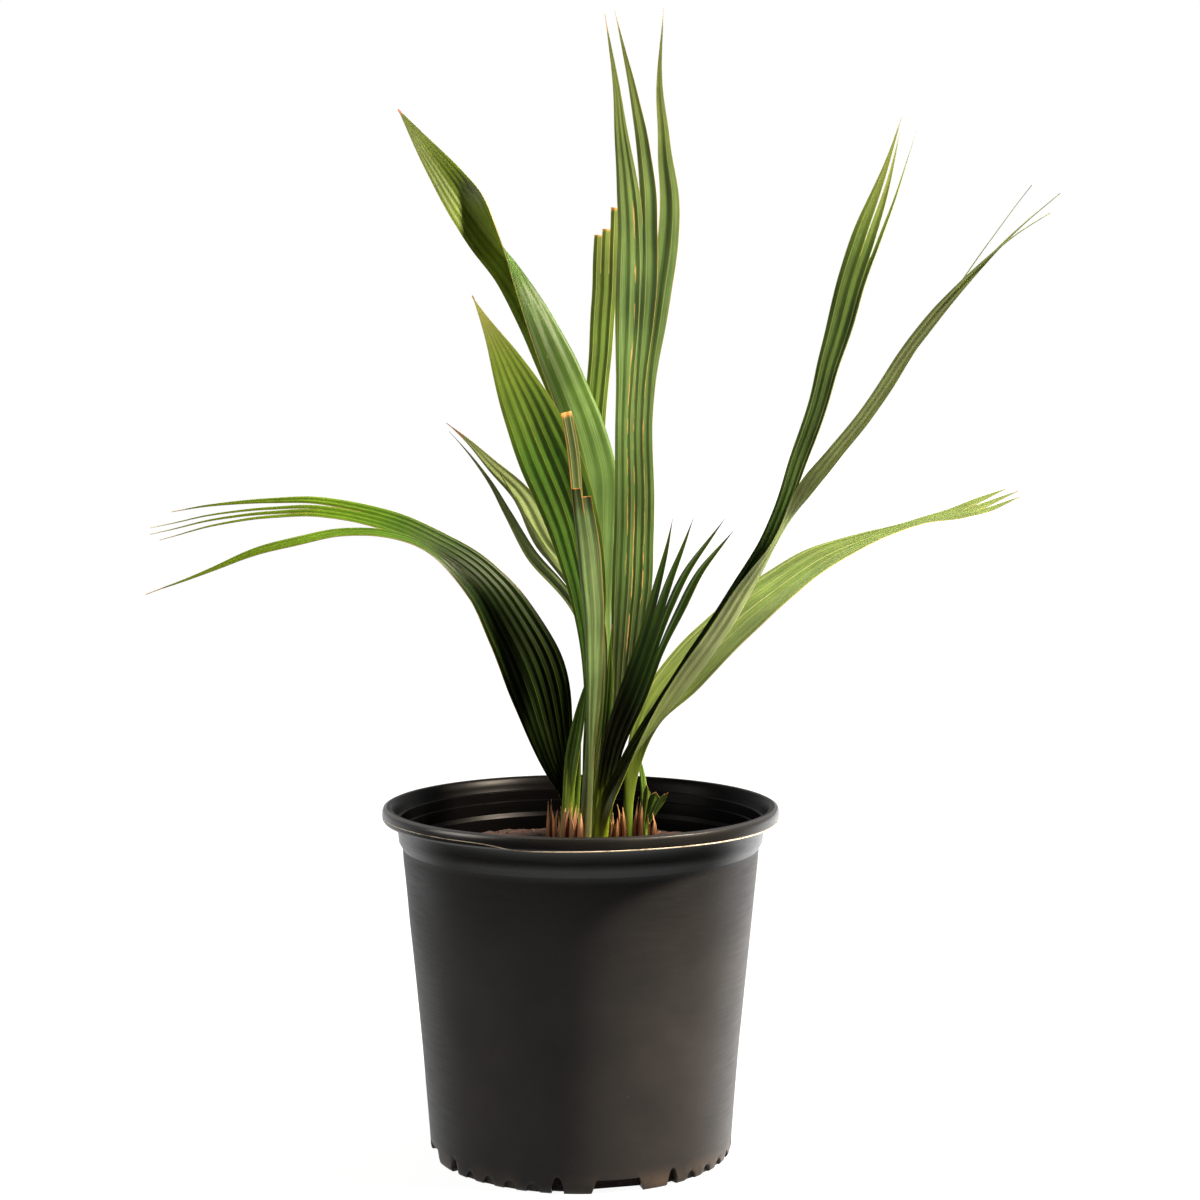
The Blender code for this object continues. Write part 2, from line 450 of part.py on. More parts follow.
class Blade:
    """A frond's main line and straps, from which any point of it can be read."""

    def __init__(self, design):
        self.columns = design["pleats"] * 2
        self.petiole = design["petiole"]
        self.pleat = design.get("pleat", PLEAT_ANGLE)
        self.line = with_frames(smooth_line(design["stations"]))
        self.split = design.get("split", 1.0)
        self.straps = [self.strap(strap) for strap in design.get("straps", [])]
        self.fingers = design.get("fingers", [])
        main = length_of(self.line)
        self.knee = main / (main + max([strap["length"] for strap in self.straps], default=0.0))

    def from_length(self, share):
        """The table's own share along the frond, from the share of its real length."""
        return np.interp(share, (0.0, self.knee, 1.0), (0.0, self.split, 1.0)) if self.straps else share

    def to_length(self, along):
        return np.interp(along, (0.0, self.split, 1.0), (0.0, self.knee, 1.0)) if self.straps else along

    def pleat_at(self, share, width):
        """The pleats start where the petiole ends and fade where the blade is narrow."""
        start, length = self.petiole * PLEAT_START, self.petiole * PLEAT_GROWTH + SMALL_SHARE
        grown = np.clip((share - start) / length, 0.0, 1.0)
        return self.pleat * grown * np.clip(width / (self.columns * FULL_PLEAT_WIDTH), LEAST_PLEAT, 1.0)

    def centre(self, share, strap_share):
        row = read(self.line, share)
        cut_line = section(self.columns, row[3], row[5], self.pleat_at(share, row[3]))
        x, y = at_share(cut_line, strap_share)
        return row, row[:3] + row[6:9] * x + row[9:12] * y

    def strap(self, strap):
        low, high = strap["share"]
        middle = (low + high) / 2
        before, near = self.centre(self.split - STRAP_LEAD, middle), self.centre(self.split, middle)
        rows = [(*near[1], near[0][3] * (high - low), near[0][4], near[0][5])]
        rows += [(*row, near[0][5]) for row in strap["path"]]
        lead = (*before[1], before[0][3] * (high - low), before[0][4], before[0][5])
        line = smooth_line([lead] + rows)
        ahead, total = np.linalg.norm(near[1] - before[1]), length_of(line)
        return dict(strap, line=with_frames(line), start=ahead / total, length=total - ahead, root=near[0])

    def owner(self, share):
        for strap in self.straps:
            if strap["share"][0] <= share <= strap["share"][1]:
                return strap
        return None

    def point(self, across, along, owner):
        strap = self.owner(owner)
        if strap and along > self.split:
            fingers, way = strap["fingers"], (along - self.split) / (1.0 - self.split)
        else:
            fingers, way = self.fingers, along
        grow, aside, middle = 1.0, np.zeros(3), 0.5
        for low, high, slit, end, drift, pointed in fingers:
            if low <= owner <= high and way > slit:
                gone = (way - slit) / (1.0 - slit)
                way = slit + gone * (end - slit)
                grow = 1.0 - gone ** TAPER if pointed else 1.0
                aside = np.array(drift, float) * gone ** DRIFT
                middle = (low + high) / 2
                break
        if strap and along > self.split:
            return self.strap_point(strap, across, way, grow, middle) + aside
        row = read(self.line, way)
        points = section(self.columns, row[3], row[5], self.pleat_at(way, row[3]))
        x, y = narrowed(points, across, middle, grow, row[3])
        return row[:3] + row[6:9] * x + row[9:12] * y + aside

    def strap_point(self, strap, across, way, grow, middle):
        low, high = strap["share"]
        row = read(strap["line"], strap["start"] + way * (1.0 - strap["start"]))
        whole = row[3] / (high - low)
        points = section(self.columns, whole, row[5], self.pleat_at(1.0, whole))
        centre = at_share(points, (low + high) / 2)
        x, y = narrowed(points, across, middle, grow, whole)
        blend = min(1.0, way / STRAP_TURN)
        across_way = unit(strap["root"][6:9] * (1 - blend) + row[6:9] * blend)
        out = unit(strap["root"][9:12] * (1 - blend) + row[9:12] * blend)
        return row[:3] + across_way * (x - centre[0]) + out * (y - centre[1])


def narrowed(points, across, middle, grow, width):
    """A point of the cut, drawn in towards the middle of its finger."""
    x, y = at_share(points, across)
    if grow >= 1.0:
        return x, y
    centre = at_share(points, middle)
    grow = max(grow, TIP_WIDTH / max(width, TIP_WIDTH))
    return centre[0] + (x - centre[0]) * grow, centre[1] + (y - centre[1]) * grow ** FLATTEN


def slits(blade, rows):
    """The column lines that are slit, and the row that each slit starts at."""
    found = {}
    for strap in blade.straps:
        if strap["share"][1] < 1.0:
            found[round(strap["share"][1] * blade.columns)] = blade.split
        for low, high, slit, end, drift, pointed in strap["fingers"]:
            if high < strap["share"][1]:
                found[round(high * blade.columns)] = blade.split + slit * (1 - blade.split)
    for low, high, slit, end, drift, pointed in blade.fingers:
        if high < 1.0:
            found[round(high * blade.columns)] = slit
    return {column: round(float(blade.to_length(along)) * rows) for column, along in found.items()}


def leaf_mesh(name, design):
    blade, rows = Blade(design), design["rows"]
    sheet = bmesh.new()
    bmesh.ops.create_grid(sheet, x_segments=blade.columns, y_segments=rows, size=0.5)
    bmesh.ops.translate(sheet, verts=sheet.verts, vec=(0.5, 0.5, 0.0))
    found = slits(blade, rows)
    cuts = []
    for edge in sheet.edges:
        low, high = sorted((vert.co for vert in edge.verts), key=lambda place: place.y)
        column = round(low.x * blade.columns)
        runs_along = abs(low.x - high.x) < 0.5 / blade.columns
        if runs_along and column in found and round(low.y * rows) >= found[column]:
            cuts.append(edge)
    bmesh.ops.split_edges(sheet, edges=cuts)
    owners = {v.index: np.mean([f.calc_center_median().x for f in v.link_faces]) for v in sheet.verts}
    mesh = bpy.data.meshes.new(name)
    places = [(v.co.x, float(blade.from_length(v.co.y))) for v in sheet.verts]
    moved = [blade.point(across, along, owners[i]) for i, (across, along) in enumerate(places)]
    for vert, place in zip(sheet.verts, moved):
        vert.co = place * MM
    sheet.to_mesh(mesh)
    sheet.free()
    return mesh, places, blade


def sheath_design(foot, top, width, height):
    """A scrap's own stations: it stands in the soil, bows outwards and frays at its top."""
    base = SOIL_TOP - LEAF_SEAT
    bow = [(foot[k] + (top[k] - foot[k]) * SCRAP_MIDDLE) * SCRAP_BOW for k in (0, 1)]
    return dict(colour=SHEATH_TAN, pleats=2, rows=SCRAP_ROWS, petiole=0.0,
                fingers=[(0.0, 0.25, 0.4, 0.8, (-2, 0, 0), 1), (0.25, 0.75, 0.4, 1.0, (0, 0, 0), 1),
                         (0.75, 1.0, 0.4, 0.88, (2, -1, 0), 1)],
                stations=[(*foot, base, width, 0, 0), (*bow, (base + height) / 2, width, 0, 30),
                          (*top, height, width * SCRAP_TOP_WIDTH, 0, 20)])


def make_leaf(name, design, group, finish):
    mesh, places, blade = leaf_mesh(name, design)
    leaf = new_object(name, mesh, group, finish)
    stalk = leaf.vertex_groups.new(name="stalk")
    for index, (across, along) in enumerate(places):
        body = max(0.0, 1.0 - along / (blade.petiole * STALK_REACH + SMALL_SHARE))
        round_off = math.sqrt(max(0.0, 1.0 - (2 * across - 1) ** 2))
        stalk.add([index], min(1.0, body * STALK_FULLNESS) * round_off, "REPLACE")
    leaf.modifiers.new("triangles", "TRIANGULATE")
    thick = leaf.modifiers.new("thickness", "SOLIDIFY")
    thick.thickness = PETIOLE_THICKNESS * MM
    thick.offset = 0.0
    thick.vertex_group = "stalk"
    thick.thickness_vertex_group = BLADE_THICKNESS / PETIOLE_THICKNESS
    return leaf


def main():
    clear_scene()
    plant = collection("potted_dwarf_palmetto")
    foot_cutters, hole_cutters = collection("foot_cutters"), collection("hole_cutters")
    make_foot_cutters(foot_cutters)
    for name, design in FRONDS.items():
        make_leaf(name, design, plant, material("palm_" + name, design["colour"], LEAF_ROUGHNESS))
        make_hole("hole_" + name, design["stations"][0], design["stations"][1], hole_cutters)
    for number, scrap in enumerate(SHEATHS, 1):
        design = sheath_design(*scrap)
        name = f"sheath_scrap_{number}"
        make_leaf(name, design, plant, material("palm_" + name, design["colour"], SHEATH_ROUGHNESS))
        make_hole("hole_" + name, design["stations"][0], design["stations"][1], hole_cutters)
    make_pot(plant, foot_cutters, material("black_polypropylene", POT_BLACK, POT_ROUGHNESS))
    make_soil(plant, hole_cutters, material("bark_and_coir", SOIL_BROWN, SOIL_ROUGHNESS))


main()
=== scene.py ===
# %% [markdown]
# A young dwarf palmetto stands in a black nursery pot. This lesson dresses a plain model of it, the frame,
# whose solids already have the right size and place. Each plain solid is replaced by a finer mesh that
# follows the same lines, and gets a finish made from nodes. We start by loading the frame.

# %% The frame
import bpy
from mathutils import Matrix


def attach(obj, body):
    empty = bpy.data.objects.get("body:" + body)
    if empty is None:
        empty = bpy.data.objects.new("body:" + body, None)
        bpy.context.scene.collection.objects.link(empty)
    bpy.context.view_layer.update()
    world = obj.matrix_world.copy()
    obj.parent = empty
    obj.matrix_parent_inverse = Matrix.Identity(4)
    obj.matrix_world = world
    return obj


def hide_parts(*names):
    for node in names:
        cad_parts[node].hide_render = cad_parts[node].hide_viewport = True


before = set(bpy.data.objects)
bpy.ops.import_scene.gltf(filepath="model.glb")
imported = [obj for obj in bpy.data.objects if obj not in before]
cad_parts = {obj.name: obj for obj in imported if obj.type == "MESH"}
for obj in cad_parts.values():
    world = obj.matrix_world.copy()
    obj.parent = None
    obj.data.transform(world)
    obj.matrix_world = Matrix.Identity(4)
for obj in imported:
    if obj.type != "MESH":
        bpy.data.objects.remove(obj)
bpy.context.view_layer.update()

# %% Tools and units
import math
import random

import bmesh
import bpy
import numpy as np
from mathutils import Matrix, Vector, noise

MM = 0.001
MERGE = 0.00001
print("one unit below is", MM, "m")

# %% [markdown]
# Colours are written as sRGB hex values, as a colour picker shows them, but a shader wants linear light.
# One function turns one into the other. Another adds a node with its settings and links, so that a
# material reads as a short list of steps. Its inputs come by name or number, or in their order, and a node
# among them stands for the output that it offers. A node's stops are those of a colour ramp.

# %% Colour and nodes
def linear(code):
    parts = [int(code[k:k + 2], 16) / 255 for k in (1, 3, 5)]
    return tuple(p / 12.92 if p <= 0.04045 else ((p + 0.055) / 1.055) ** 2.4 for p in parts) + (1.0,)


def add(tree, kind, inputs=(), stops=(), **settings):
    node = tree.nodes.new("ShaderNode" + kind)
    for name, value in settings.items():
        setattr(node, name, value)
    for socket, value in (inputs if isinstance(inputs, dict) else dict(enumerate(inputs))).items():
        if isinstance(value, bpy.types.Node):
            value = next(output for output in value.outputs if output.enabled)
        if isinstance(value, bpy.types.NodeSocket):
            tree.links.new(value, node.inputs[socket])
        else:
            node.inputs[socket].default_value = value
    for number, (place, colour) in enumerate(stops):
        knots = node.color_ramp.elements
        knot = knots[number] if number < 2 else knots.new(place)
        knot.position = place
        knot.color = linear(colour) if isinstance(colour, str) else (colour, colour, colour, 1.0)
    return node


def new_material(name):
    made = bpy.data.materials.new(name)
    made.use_nodes = True
    return made, made.node_tree, made.node_tree.nodes["Principled BSDF"]


SMOOTH = dict(interpolation_type="SMOOTHSTEP")
TIMES = dict(operation="MULTIPLY")
BLEND = dict(data_type="RGBA")
BLEND_TIMES = dict(data_type="RGBA", blend_type="MULTIPLY")
print("mid grey in linear light:", round(linear("#808080")[0], 3))

# %% [markdown]
# A finished piece is given to the frame: it rides on the plant's one body and stands for the solid that it
# replaces, which is hidden. Its modifiers are applied first, so that the mesh is what shows, and edges
# sharper than 50 degrees stay crisp under smooth shading.

# %% Handing a piece to the frame
SHARP = math.radians(50)


def piece_from(sheet, name, materials):
    mesh = bpy.data.meshes.new(name)
    sheet.to_mesh(mesh)
    sheet.free()
    piece = bpy.data.objects.new(name, mesh)
    bpy.context.scene.collection.objects.link(piece)
    for material in materials:
        mesh.materials.append(material)
    return piece


def settle(piece, nodes):
    graph = bpy.context.evaluated_depsgraph_get()
    mesh = bpy.data.meshes.new_from_object(piece.evaluated_get(graph))
    piece.modifiers.clear()
    piece.data = mesh
    mesh.shade_smooth()
    mesh.set_sharp_from_angle(angle=SHARP)
    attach(piece, "root")
    if nodes:
        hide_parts(*nodes)
    mesh.calc_loop_triangles()
    print(piece.name, len(mesh.loop_triangles), "triangles")


# %% [markdown]
# The camera stands where the photographer stood: 1.6 m from the pot's axis, half a metre up, looking a
# little down, through a lens of 68 mm.

# %% Camera
CAMERA_PLACE = (0.0136, -1.600, 0.509)
CAMERA_PITCH = 4.2
LENS = 68.4

camera = bpy.data.objects.new("camera", bpy.data.cameras.new("camera"))
camera.data.lens = LENS
camera.location = CAMERA_PLACE
camera.rotation_euler = (math.radians(90 - CAMERA_PITCH), 0.0, 0.0)
bpy.context.scene.collection.objects.link(camera)
bpy.context.scene.camera = camera
print("camera at", CAMERA_PLACE)

# %% [markdown]
# The floor is plain and pale, and glows towards the camera alone, like a sweep of paper whose light is kept
# off the plant. The key light is a small soft box at the far right, high up and a little in front: under the
# pot's rim it leaves a shadow that runs down the wall to the left. A weak fill from the far left opens the
# shadows. The room is dark towards the camera and bright behind the plant, where the lit backdrop hangs. Lit
# paper behind and under the pot is seen only below the horizon, so only in reflections: at a shallow angle
# the pot's sides mirror it as two thin rims of light.

# %% Floor and light
FLOOR_SIZE, FLOOR_GLOW = 6.0, 0.945
ROOM_FRONT, ROOM_BACK = 0.04, 0.60
PAPER_LEFT, PAPER_RIGHT, PAPER_UNDER = 1.0, 2.3, 1.2
KEY_AZIMUTH, KEY_ELEVATION, KEY_DISTANCE, KEY_SIZE, KEY_POWER = 77, 48, 2.6, 0.28, 400
FILL_AZIMUTH, FILL_ELEVATION, FILL_DISTANCE, FILL_SIZE, FILL_POWER = -75, 25, 3.0, 1.6, 45
AIM = (0.0, 0.0, 0.35)

floor_sheet = bmesh.new()
bmesh.ops.create_grid(floor_sheet, x_segments=1, y_segments=1, size=FLOOR_SIZE)
# Seamless paper is matt and even, so the eye finds no edge between floor and sky.
paper, tree, shader = new_material("seamless_paper")
shader.inputs["Base Color"].default_value = linear("#646464")
shader.inputs["Roughness"].default_value = 0.9
shader.inputs["Specular IOR Level"].default_value = 0.1
shader.inputs["Emission Color"].default_value = linear("#ffffff")
seen = add(tree, "LightPath").outputs["Is Camera Ray"]
glow = add(tree, "MapRange", (seen, 0.0, 1.0, 0.0, FLOOR_GLOW))
tree.links.new(glow.outputs["Result"], shader.inputs["Emission Strength"])
studio_floor = piece_from(floor_sheet, "studio_floor", [paper])
studio_floor.visible_glossy = False


def soft_box(name, azimuth, elevation, distance, size, power, colour):
    turn, rise = math.radians(azimuth), math.radians(elevation)
    way = Vector((math.sin(turn) * math.cos(rise), -math.cos(turn) * math.cos(rise), math.sin(rise)))
    lamp = bpy.data.objects.new(name, bpy.data.lights.new(name, "AREA"))
    lamp.data.size = size
    lamp.data.energy = power
    lamp.data.color = linear(colour)[:3]
    lamp.location = Vector(AIM) + way * distance
    lamp.rotation_euler = way.to_track_quat("Z", "Y").to_euler()
    bpy.context.scene.collection.objects.link(lamp)


soft_box("key", KEY_AZIMUTH, KEY_ELEVATION, KEY_DISTANCE, KEY_SIZE, KEY_POWER, "#ffecd6")
soft_box("fill", FILL_AZIMUTH, FILL_ELEVATION, FILL_DISTANCE, FILL_SIZE, FILL_POWER, "#fff8f0")

room = bpy.data.worlds.new("dark_room_with_a_lit_backdrop")
room.use_nodes = True
tree = room.node_tree
sky = tree.nodes["Background"]
way = add(tree, "SeparateXYZ", (add(tree, "TexCoord").outputs["Generated"],))
backdrop = add(tree, "MapRange", (way.outputs["Y"], -0.1, 0.7, ROOM_FRONT, ROOM_BACK), **SMOOTH)
side = add(tree, "MapRange", (way.outputs["X"], -0.1, 0.5, PAPER_LEFT, PAPER_RIGHT), **SMOOTH)
behind = add(tree, "MapRange", (way.outputs["Y"], 0.1, 0.7), **SMOOTH)
below = add(tree, "MapRange", (way.outputs["Z"], 0.01, -0.01))
sweep = add(tree, "Math", (behind, below), **TIMES)
paper_behind = add(tree, "Math", (sweep, side), **TIMES)
paper_under = add(tree, "MapRange", (way.outputs["Z"], -0.45, -0.85, 0.0, PAPER_UNDER))
paper_glow = add(tree, "Math", (paper_behind, paper_under), operation="MAXIMUM")
glow = add(tree, "Math", (backdrop, paper_glow), operation="MAXIMUM")
seen = add(tree, "LightPath").outputs["Is Camera Ray"]  # the camera itself sees plain white
level = add(tree, "Math", (glow, seen), operation="MAXIMUM")
sky.inputs["Color"].default_value = (1.0, 1.0, 1.0, 1.0)
tree.links.new(level.outputs[0], sky.inputs["Strength"])
bpy.context.scene.world = room
bpy.context.scene.view_settings.view_transform = "Standard"

# %% [markdown]
# The pot is blow-moulded from polypropylene: one thin wall, turned about its axis. So its section is drawn
# once and spun. The lip is rolled outwards, the neck steps in under it to a collar, and the wall tapers to
# the foot. Inside, ledges step down from the lip. The numbers are radius and height in millimetres, close to
# those of the frame: one slope under the collar stands for its two small steps, up to 2.3 mm further in.

# %% The pot's section
LIP = [(133.0, 245.4), (134.6, 246.8), (137.0, 247.0), (139.2, 246.0), (140.0, 244.0),
       (140.0, 239.0), (139.2, 237.6), (137.8, 237.8), (137.4, 242.0), (135.2, 243.4), (132.6, 240.6)]
BODY = [(129.6, 233.0), (128.5, 222.5), (126.0, 218.0), (125.3, 208.0), (117.0, 123.0), (113.2, 82.0),
        (110.0, 42.0), (107.8, 14.0), (107.2, 4.0), (106.6, 1.0), (105.6, 0.0)]
LEDGES = [(126.3, 221.0), (126.6, 229.4), (127.9, 230.0), (128.3, 237.0), (129.9, 237.6), (131.2, 241.0)]
WALL, FLOOR, FOOT_WALL, FOOT_HEIGHT = 1.8, 2.4, 4.6, 12.0
POT_STEPS, WALL_STEP = 192, 9.0
FOOT_STEP = 1.0

foot_radius = BODY[-3][0] - FOOT_WALL
inner = [(foot_radius, FLOOR), (foot_radius, FOOT_HEIGHT)]
inner += [(radius - WALL, height) for radius, height in reversed(BODY)
          if FOOT_HEIGHT + FOOT_STEP < height < LEDGES[0][1]]
section_line = [(0.0, FLOOR)] + inner + LEDGES + LIP + BODY + [(0.0, 0.0)]
print("points in the pot's section:", len(section_line))

# %% [markdown]
# Long straight stretches are divided, so that the wall can take the slow dents that a thin pot gets in use.
# A dent is a soft bump of the radius at one azimuth and height: its place and size are in millimetres and
# degrees, and azimuth 0 is the side towards the camera.

# %% Dents
DENTS = [(-62, 190, 16, 26, -1.3), (-70, 168, 12, 16, 0.8), (38, 150, 30, 40, 0.7), (-10, 120, 40, 60, -0.5),
         (62, 60, 22, 30, -0.8), (58, 196, 10, 14, -0.9), (150, 120, 30, 50, -1.0), (-140, 90, 26, 40, 0.8)]


def dented(azimuth, height):
    """How far the wall stands out at an azimuth in degrees and a height in millimetres."""
    out = 0.0
    for where, level, wide, tall, deep in DENTS:
        around = (azimuth - where + 180) % 360 - 180
        out += deep * math.exp(-(around / wide) ** 2 - ((height - level) / tall) ** 2)
    return out


def divided(line, step):
    """A section with a point at least every step."""
    points = [line[0]]
    for (r0, h0), (r1, h1) in zip(line, line[1:]):
        count = max(1, math.ceil(math.hypot(r1 - r0, h1 - h0) / step))
        points += [(r0 + (r1 - r0) * k / count, h0 + (h1 - h0) * k / count) for k in range(1, count + 1)]
    return points


def spun(line, steps):
    """A section spun about Z, from a few vertices, its doubles merged and its faces turned outwards."""
    sheet = bmesh.new()
    points = [sheet.verts.new((radius * MM, 0.0, height * MM)) for radius, height in line]
    edges = [sheet.edges.new(pair) for pair in zip(points, points[1:])]
    bmesh.ops.spin(sheet, geom=points + edges, cent=(0, 0, 0), axis=(0, 0, 1), angle=math.tau,
                   steps=steps, use_merge=True)
    bmesh.ops.remove_doubles(sheet, verts=sheet.verts, dist=MERGE)
    bmesh.ops.recalc_face_normals(sheet, faces=sheet.faces)
    return sheet


pot_sheet = spun(divided(section_line, WALL_STEP), POT_STEPS)
NECK, FOOT_TOP, NECK_STIFFNESS = 200.0, 16.0, 0.45
for vert in pot_sheet.verts:
    radius, height = vert.co.xy.length / MM, vert.co.z / MM
    if radius > foot_radius + 1 and height > FOOT_TOP:
        azimuth = math.degrees(math.atan2(vert.co.x, -vert.co.y))
        fade = min(1.0, (height - FOOT_TOP) / FOOT_TOP) * (1.0 if height < NECK else NECK_STIFFNESS)
        grown = 1.0 + dented(azimuth, height) * fade / radius
        vert.co.x *= grown
        vert.co.y *= grown
print("pot faces:", len(pot_sheet.faces))

# %% [markdown]
# The foot has four drain openings with sloping sides, an arch at each side of them, and small pressed
# crimps between. Each is a cutter that is taken away with a Boolean modifier, and then removed.

# %% The foot's openings
DRAIN_AZIMUTH = -76.0
DRAIN_WIDTH, DRAIN_TOP_WIDTH, DRAIN_HEIGHT, DRAIN_INSET, DRAIN_REACH = 42.0, 30.0, 9.5, 4.0, 14.0
ARCH_STEP, ARCH_WIDTH, ARCH_HEIGHT = 22.0, 8.5, 12.0
ARCH_OUT, ARCH_IN, ARCH_SIDES = 3.0, 2.0, 24
CRIMP_STEPS = (31.2, 40.4, 49.6, 58.8)
CRIMP_WIDTH, CRIMP_HEIGHT, CRIMP_DEPTH = 9.5, 6.5, 3.0


def turn_z(degrees):
    return Matrix.Rotation(math.radians(degrees), 3, "Z")


def arch_cutter(cutters, azimuth, width, height, reach):
    """A half-round hole that reaches into the foot."""
    made = bmesh.ops.create_cone(cutters, cap_ends=True, segments=ARCH_SIDES, radius1=1.0, radius2=1.0,
                                 depth=1.0)
    length = reach + ARCH_OUT
    middle = BODY[-3][0] + ARCH_OUT - length / 2
    for vert in made["verts"]:
        x, y, z = vert.co
        vert.co = ((middle + z * length) * MM, x * width / 2 * MM, y * height * MM)
    bmesh.ops.rotate(cutters, verts=made["verts"], cent=(0, 0, 0), matrix=turn_z(azimuth))


def drain_cutter(cutters, azimuth):
    """A drain opening, narrower at its top."""
    made = bmesh.ops.create_cube(cutters, size=1.0)
    for vert in made["verts"]:
        x, y, z = vert.co
        width = DRAIN_TOP_WIDTH if z > 0 else DRAIN_WIDTH
        vert.co = ((BODY[-1][0] - DRAIN_INSET + x * DRAIN_REACH) * MM, y * width * MM,
                   math.copysign(DRAIN_HEIGHT, z) * MM)
    bmesh.ops.rotate(cutters, verts=made["verts"], cent=(0, 0, 0), matrix=turn_z(azimuth))


cutter_sheet = bmesh.new()
for side in range(4):
    centre = DRAIN_AZIMUTH + 90 * side
    drain_cutter(cutter_sheet, centre)
    for way in (-1, 1):
        arch_cutter(cutter_sheet, centre + way * ARCH_STEP, ARCH_WIDTH, ARCH_HEIGHT, FOOT_WALL + ARCH_IN)
    for step in CRIMP_STEPS:
        arch_cutter(cutter_sheet, centre + step, CRIMP_WIDTH, CRIMP_HEIGHT, CRIMP_DEPTH)
bmesh.ops.recalc_face_normals(cutter_sheet, faces=cutter_sheet.faces)
print("cutter faces:", len(cutter_sheet.faces))

# %% [markdown]
# Polypropylene coloured with carbon black is nearly black. It has three finishes here: inside it is deep
# black, partly its own moulded black and partly painted shade inside the pot; outside handling has left the
# wall greyer and matt, and hands have rubbed the lip to a soft shine. From 120 mm up all three are painted
# darker towards the collar and the lip, a painted shade under the lip. A little brown-grey dust clings to the
# foot, with pale specks, and fine scratches run round the wall. The film of dust is mixed by height and
# broken up by noise, whose grains are worked out from a size in millimetres.

# %% Black polypropylene
DUST_TOP = 18.0
# Painted shade under the lip: between the first two heights in millimetres the colour is dimmed to the last
# factor.
RIM_SHADE_LOW, RIM_SHADE_TOP, RIM_SHADE_LEVEL = 120.0, 215.0, 0.35
FLECK, SCRATCH, CLOUD = 1.3, 1.4, 45.0
SCRATCH_RUN = 25.0


def black_plastic(name, tones, dust, rough, gloss=0.45):
    made, tree, shader = new_material(name)
    where = add(tree, "TexCoord").outputs["Object"]
    height = add(tree, "SeparateXYZ", (where,)).outputs["Z"]
    cloud = add(tree, "TexNoise", {"Vector": where, "Scale": 1 / (CLOUD * MM), "Detail": 6.0})
    fleck = add(tree, "TexNoise", {"Vector": where, "Scale": 1 / (FLECK * MM), "Detail": 3.0})
    low = add(tree, "MapRange", (height, 0.0, DUST_TOP * MM, dust, 0.0), interpolation_type="SMOOTHERSTEP")
    grain = add(tree, "MapRange", (cloud, 0.40, 0.62))
    film = add(tree, "Math", (low, grain), **TIMES)
    ring_scale = (1 / (SCRATCH_RUN * MM), 1 / (SCRATCH_RUN * MM), 1 / (SCRATCH * MM))
    ring = add(tree, "Mapping", {"Vector": where, "Scale": ring_scale})
    scratch = add(tree, "TexNoise", {"Vector": ring, "Scale": 1.0, "Detail": 3.0})
    bare = add(tree, "ValToRGB", (cloud,), stops=[(0.3, tones[0]), (0.72, tones[1])])
    # Painted shade: the colour darkens with height, standing in for the lip's shadow on the upper wall.
    rim_shade = add(tree, "MapRange", (height, RIM_SHADE_LOW * MM, RIM_SHADE_TOP * MM, 1.0, RIM_SHADE_LEVEL), **SMOOTH)
    tone = add(tree, "Mix", {0: 1.0, 6: bare, 7: rim_shade}, **BLEND_TIMES)
    dusty = add(tree, "Mix", {0: film, 6: tone, 7: linear("#5a4d3f")}, **BLEND)
    spot = add(tree, "ValToRGB", (fleck,), stops=[(0.73, 0.0), (0.80, 0.5 * dust)])
    flecked = add(tree, "Mix", {0: spot, 6: dusty, 7: linear("#8d8880")}, **BLEND)
    matt = add(tree, "MapRange", (scratch, 0.3, 0.7, rough, rough + 0.08))
    relief = add(tree, "Bump", {"Height": scratch, "Strength": 0.04, "Distance": 0.4 * MM})
    slow = add(tree, "Bump", {"Height": cloud, "Strength": 0.05, "Distance": 5 * MM, "Normal": relief})
    tree.links.new(flecked.outputs[2], shader.inputs["Base Color"])
    tree.links.new(matt.outputs[0], shader.inputs["Roughness"])
    tree.links.new(slow.outputs[0], shader.inputs["Normal"])
    shader.inputs["Specular IOR Level"].default_value = gloss
    return made


# Handled polypropylene: scuffed and greyed, so light spreads wide on it.
handled_plastic = black_plastic("handled_polypropylene", ("#252525", "#312f2f"), 0.8, 0.46)
# As-moulded polypropylene inside the pot: deep black, partly its own unscuffed black and partly painted shade
# of the rim, with a faint sheen on the ledges.
moulded_black_with_painted_shade = black_plastic("moulded_polypropylene_with_painted_shade", ("#070707", "#0c0b0b"), 0.0, 0.3, 0.04)
# Rubbed polypropylene: the lip, polished by hands, shows the light as a soft streak.
rubbed_plastic = black_plastic("rubbed_polypropylene", ("#20201f", "#2e2d2b"), 0.1, 0.26, 0.6)
print("three finishes of one plastic")

# %% Cut and round the pot
ROUNDING, ROUNDED_ABOVE = 0.7, 28
INSIDE_FROM, COLLAR = 20.0, 218.0
for face in pot_sheet.faces:
    middle = face.calc_center_median()
    inwards = face.normal.xy.dot(middle.xy) < 0
    if inwards and middle.z / MM > INSIDE_FROM:
        face.material_index = 1
    elif middle.z / MM > COLLAR:
        face.material_index = 2
pot = piece_from(pot_sheet, "nursery_pot", [handled_plastic, moulded_black_with_painted_shade, rubbed_plastic])
cutter = piece_from(cutter_sheet, "foot_cutter", [])
opening = pot.modifiers.new("openings", "BOOLEAN")
opening.operation = "DIFFERENCE"
opening.object = cutter
opening.solver = "EXACT"
opening.use_self = True
soften = pot.modifiers.new("rounded", "BEVEL")
soften.width = ROUNDING * MM
soften.segments = 2
soften.limit_method = "ANGLE"
soften.angle_limit = math.radians(ROUNDED_ABOVE)
settle(pot, ["pot"])
bpy.data.objects.remove(cutter, do_unlink=True)

# %% [markdown]
# Where the two halves of the mould closed, the lip keeps a thin pale flash. It wanders up and down by a
# millimetre and steps down by almost four at the left of the front. A hexagon is spun to a thin ring, and
# each vertex is then lifted by its azimuth.

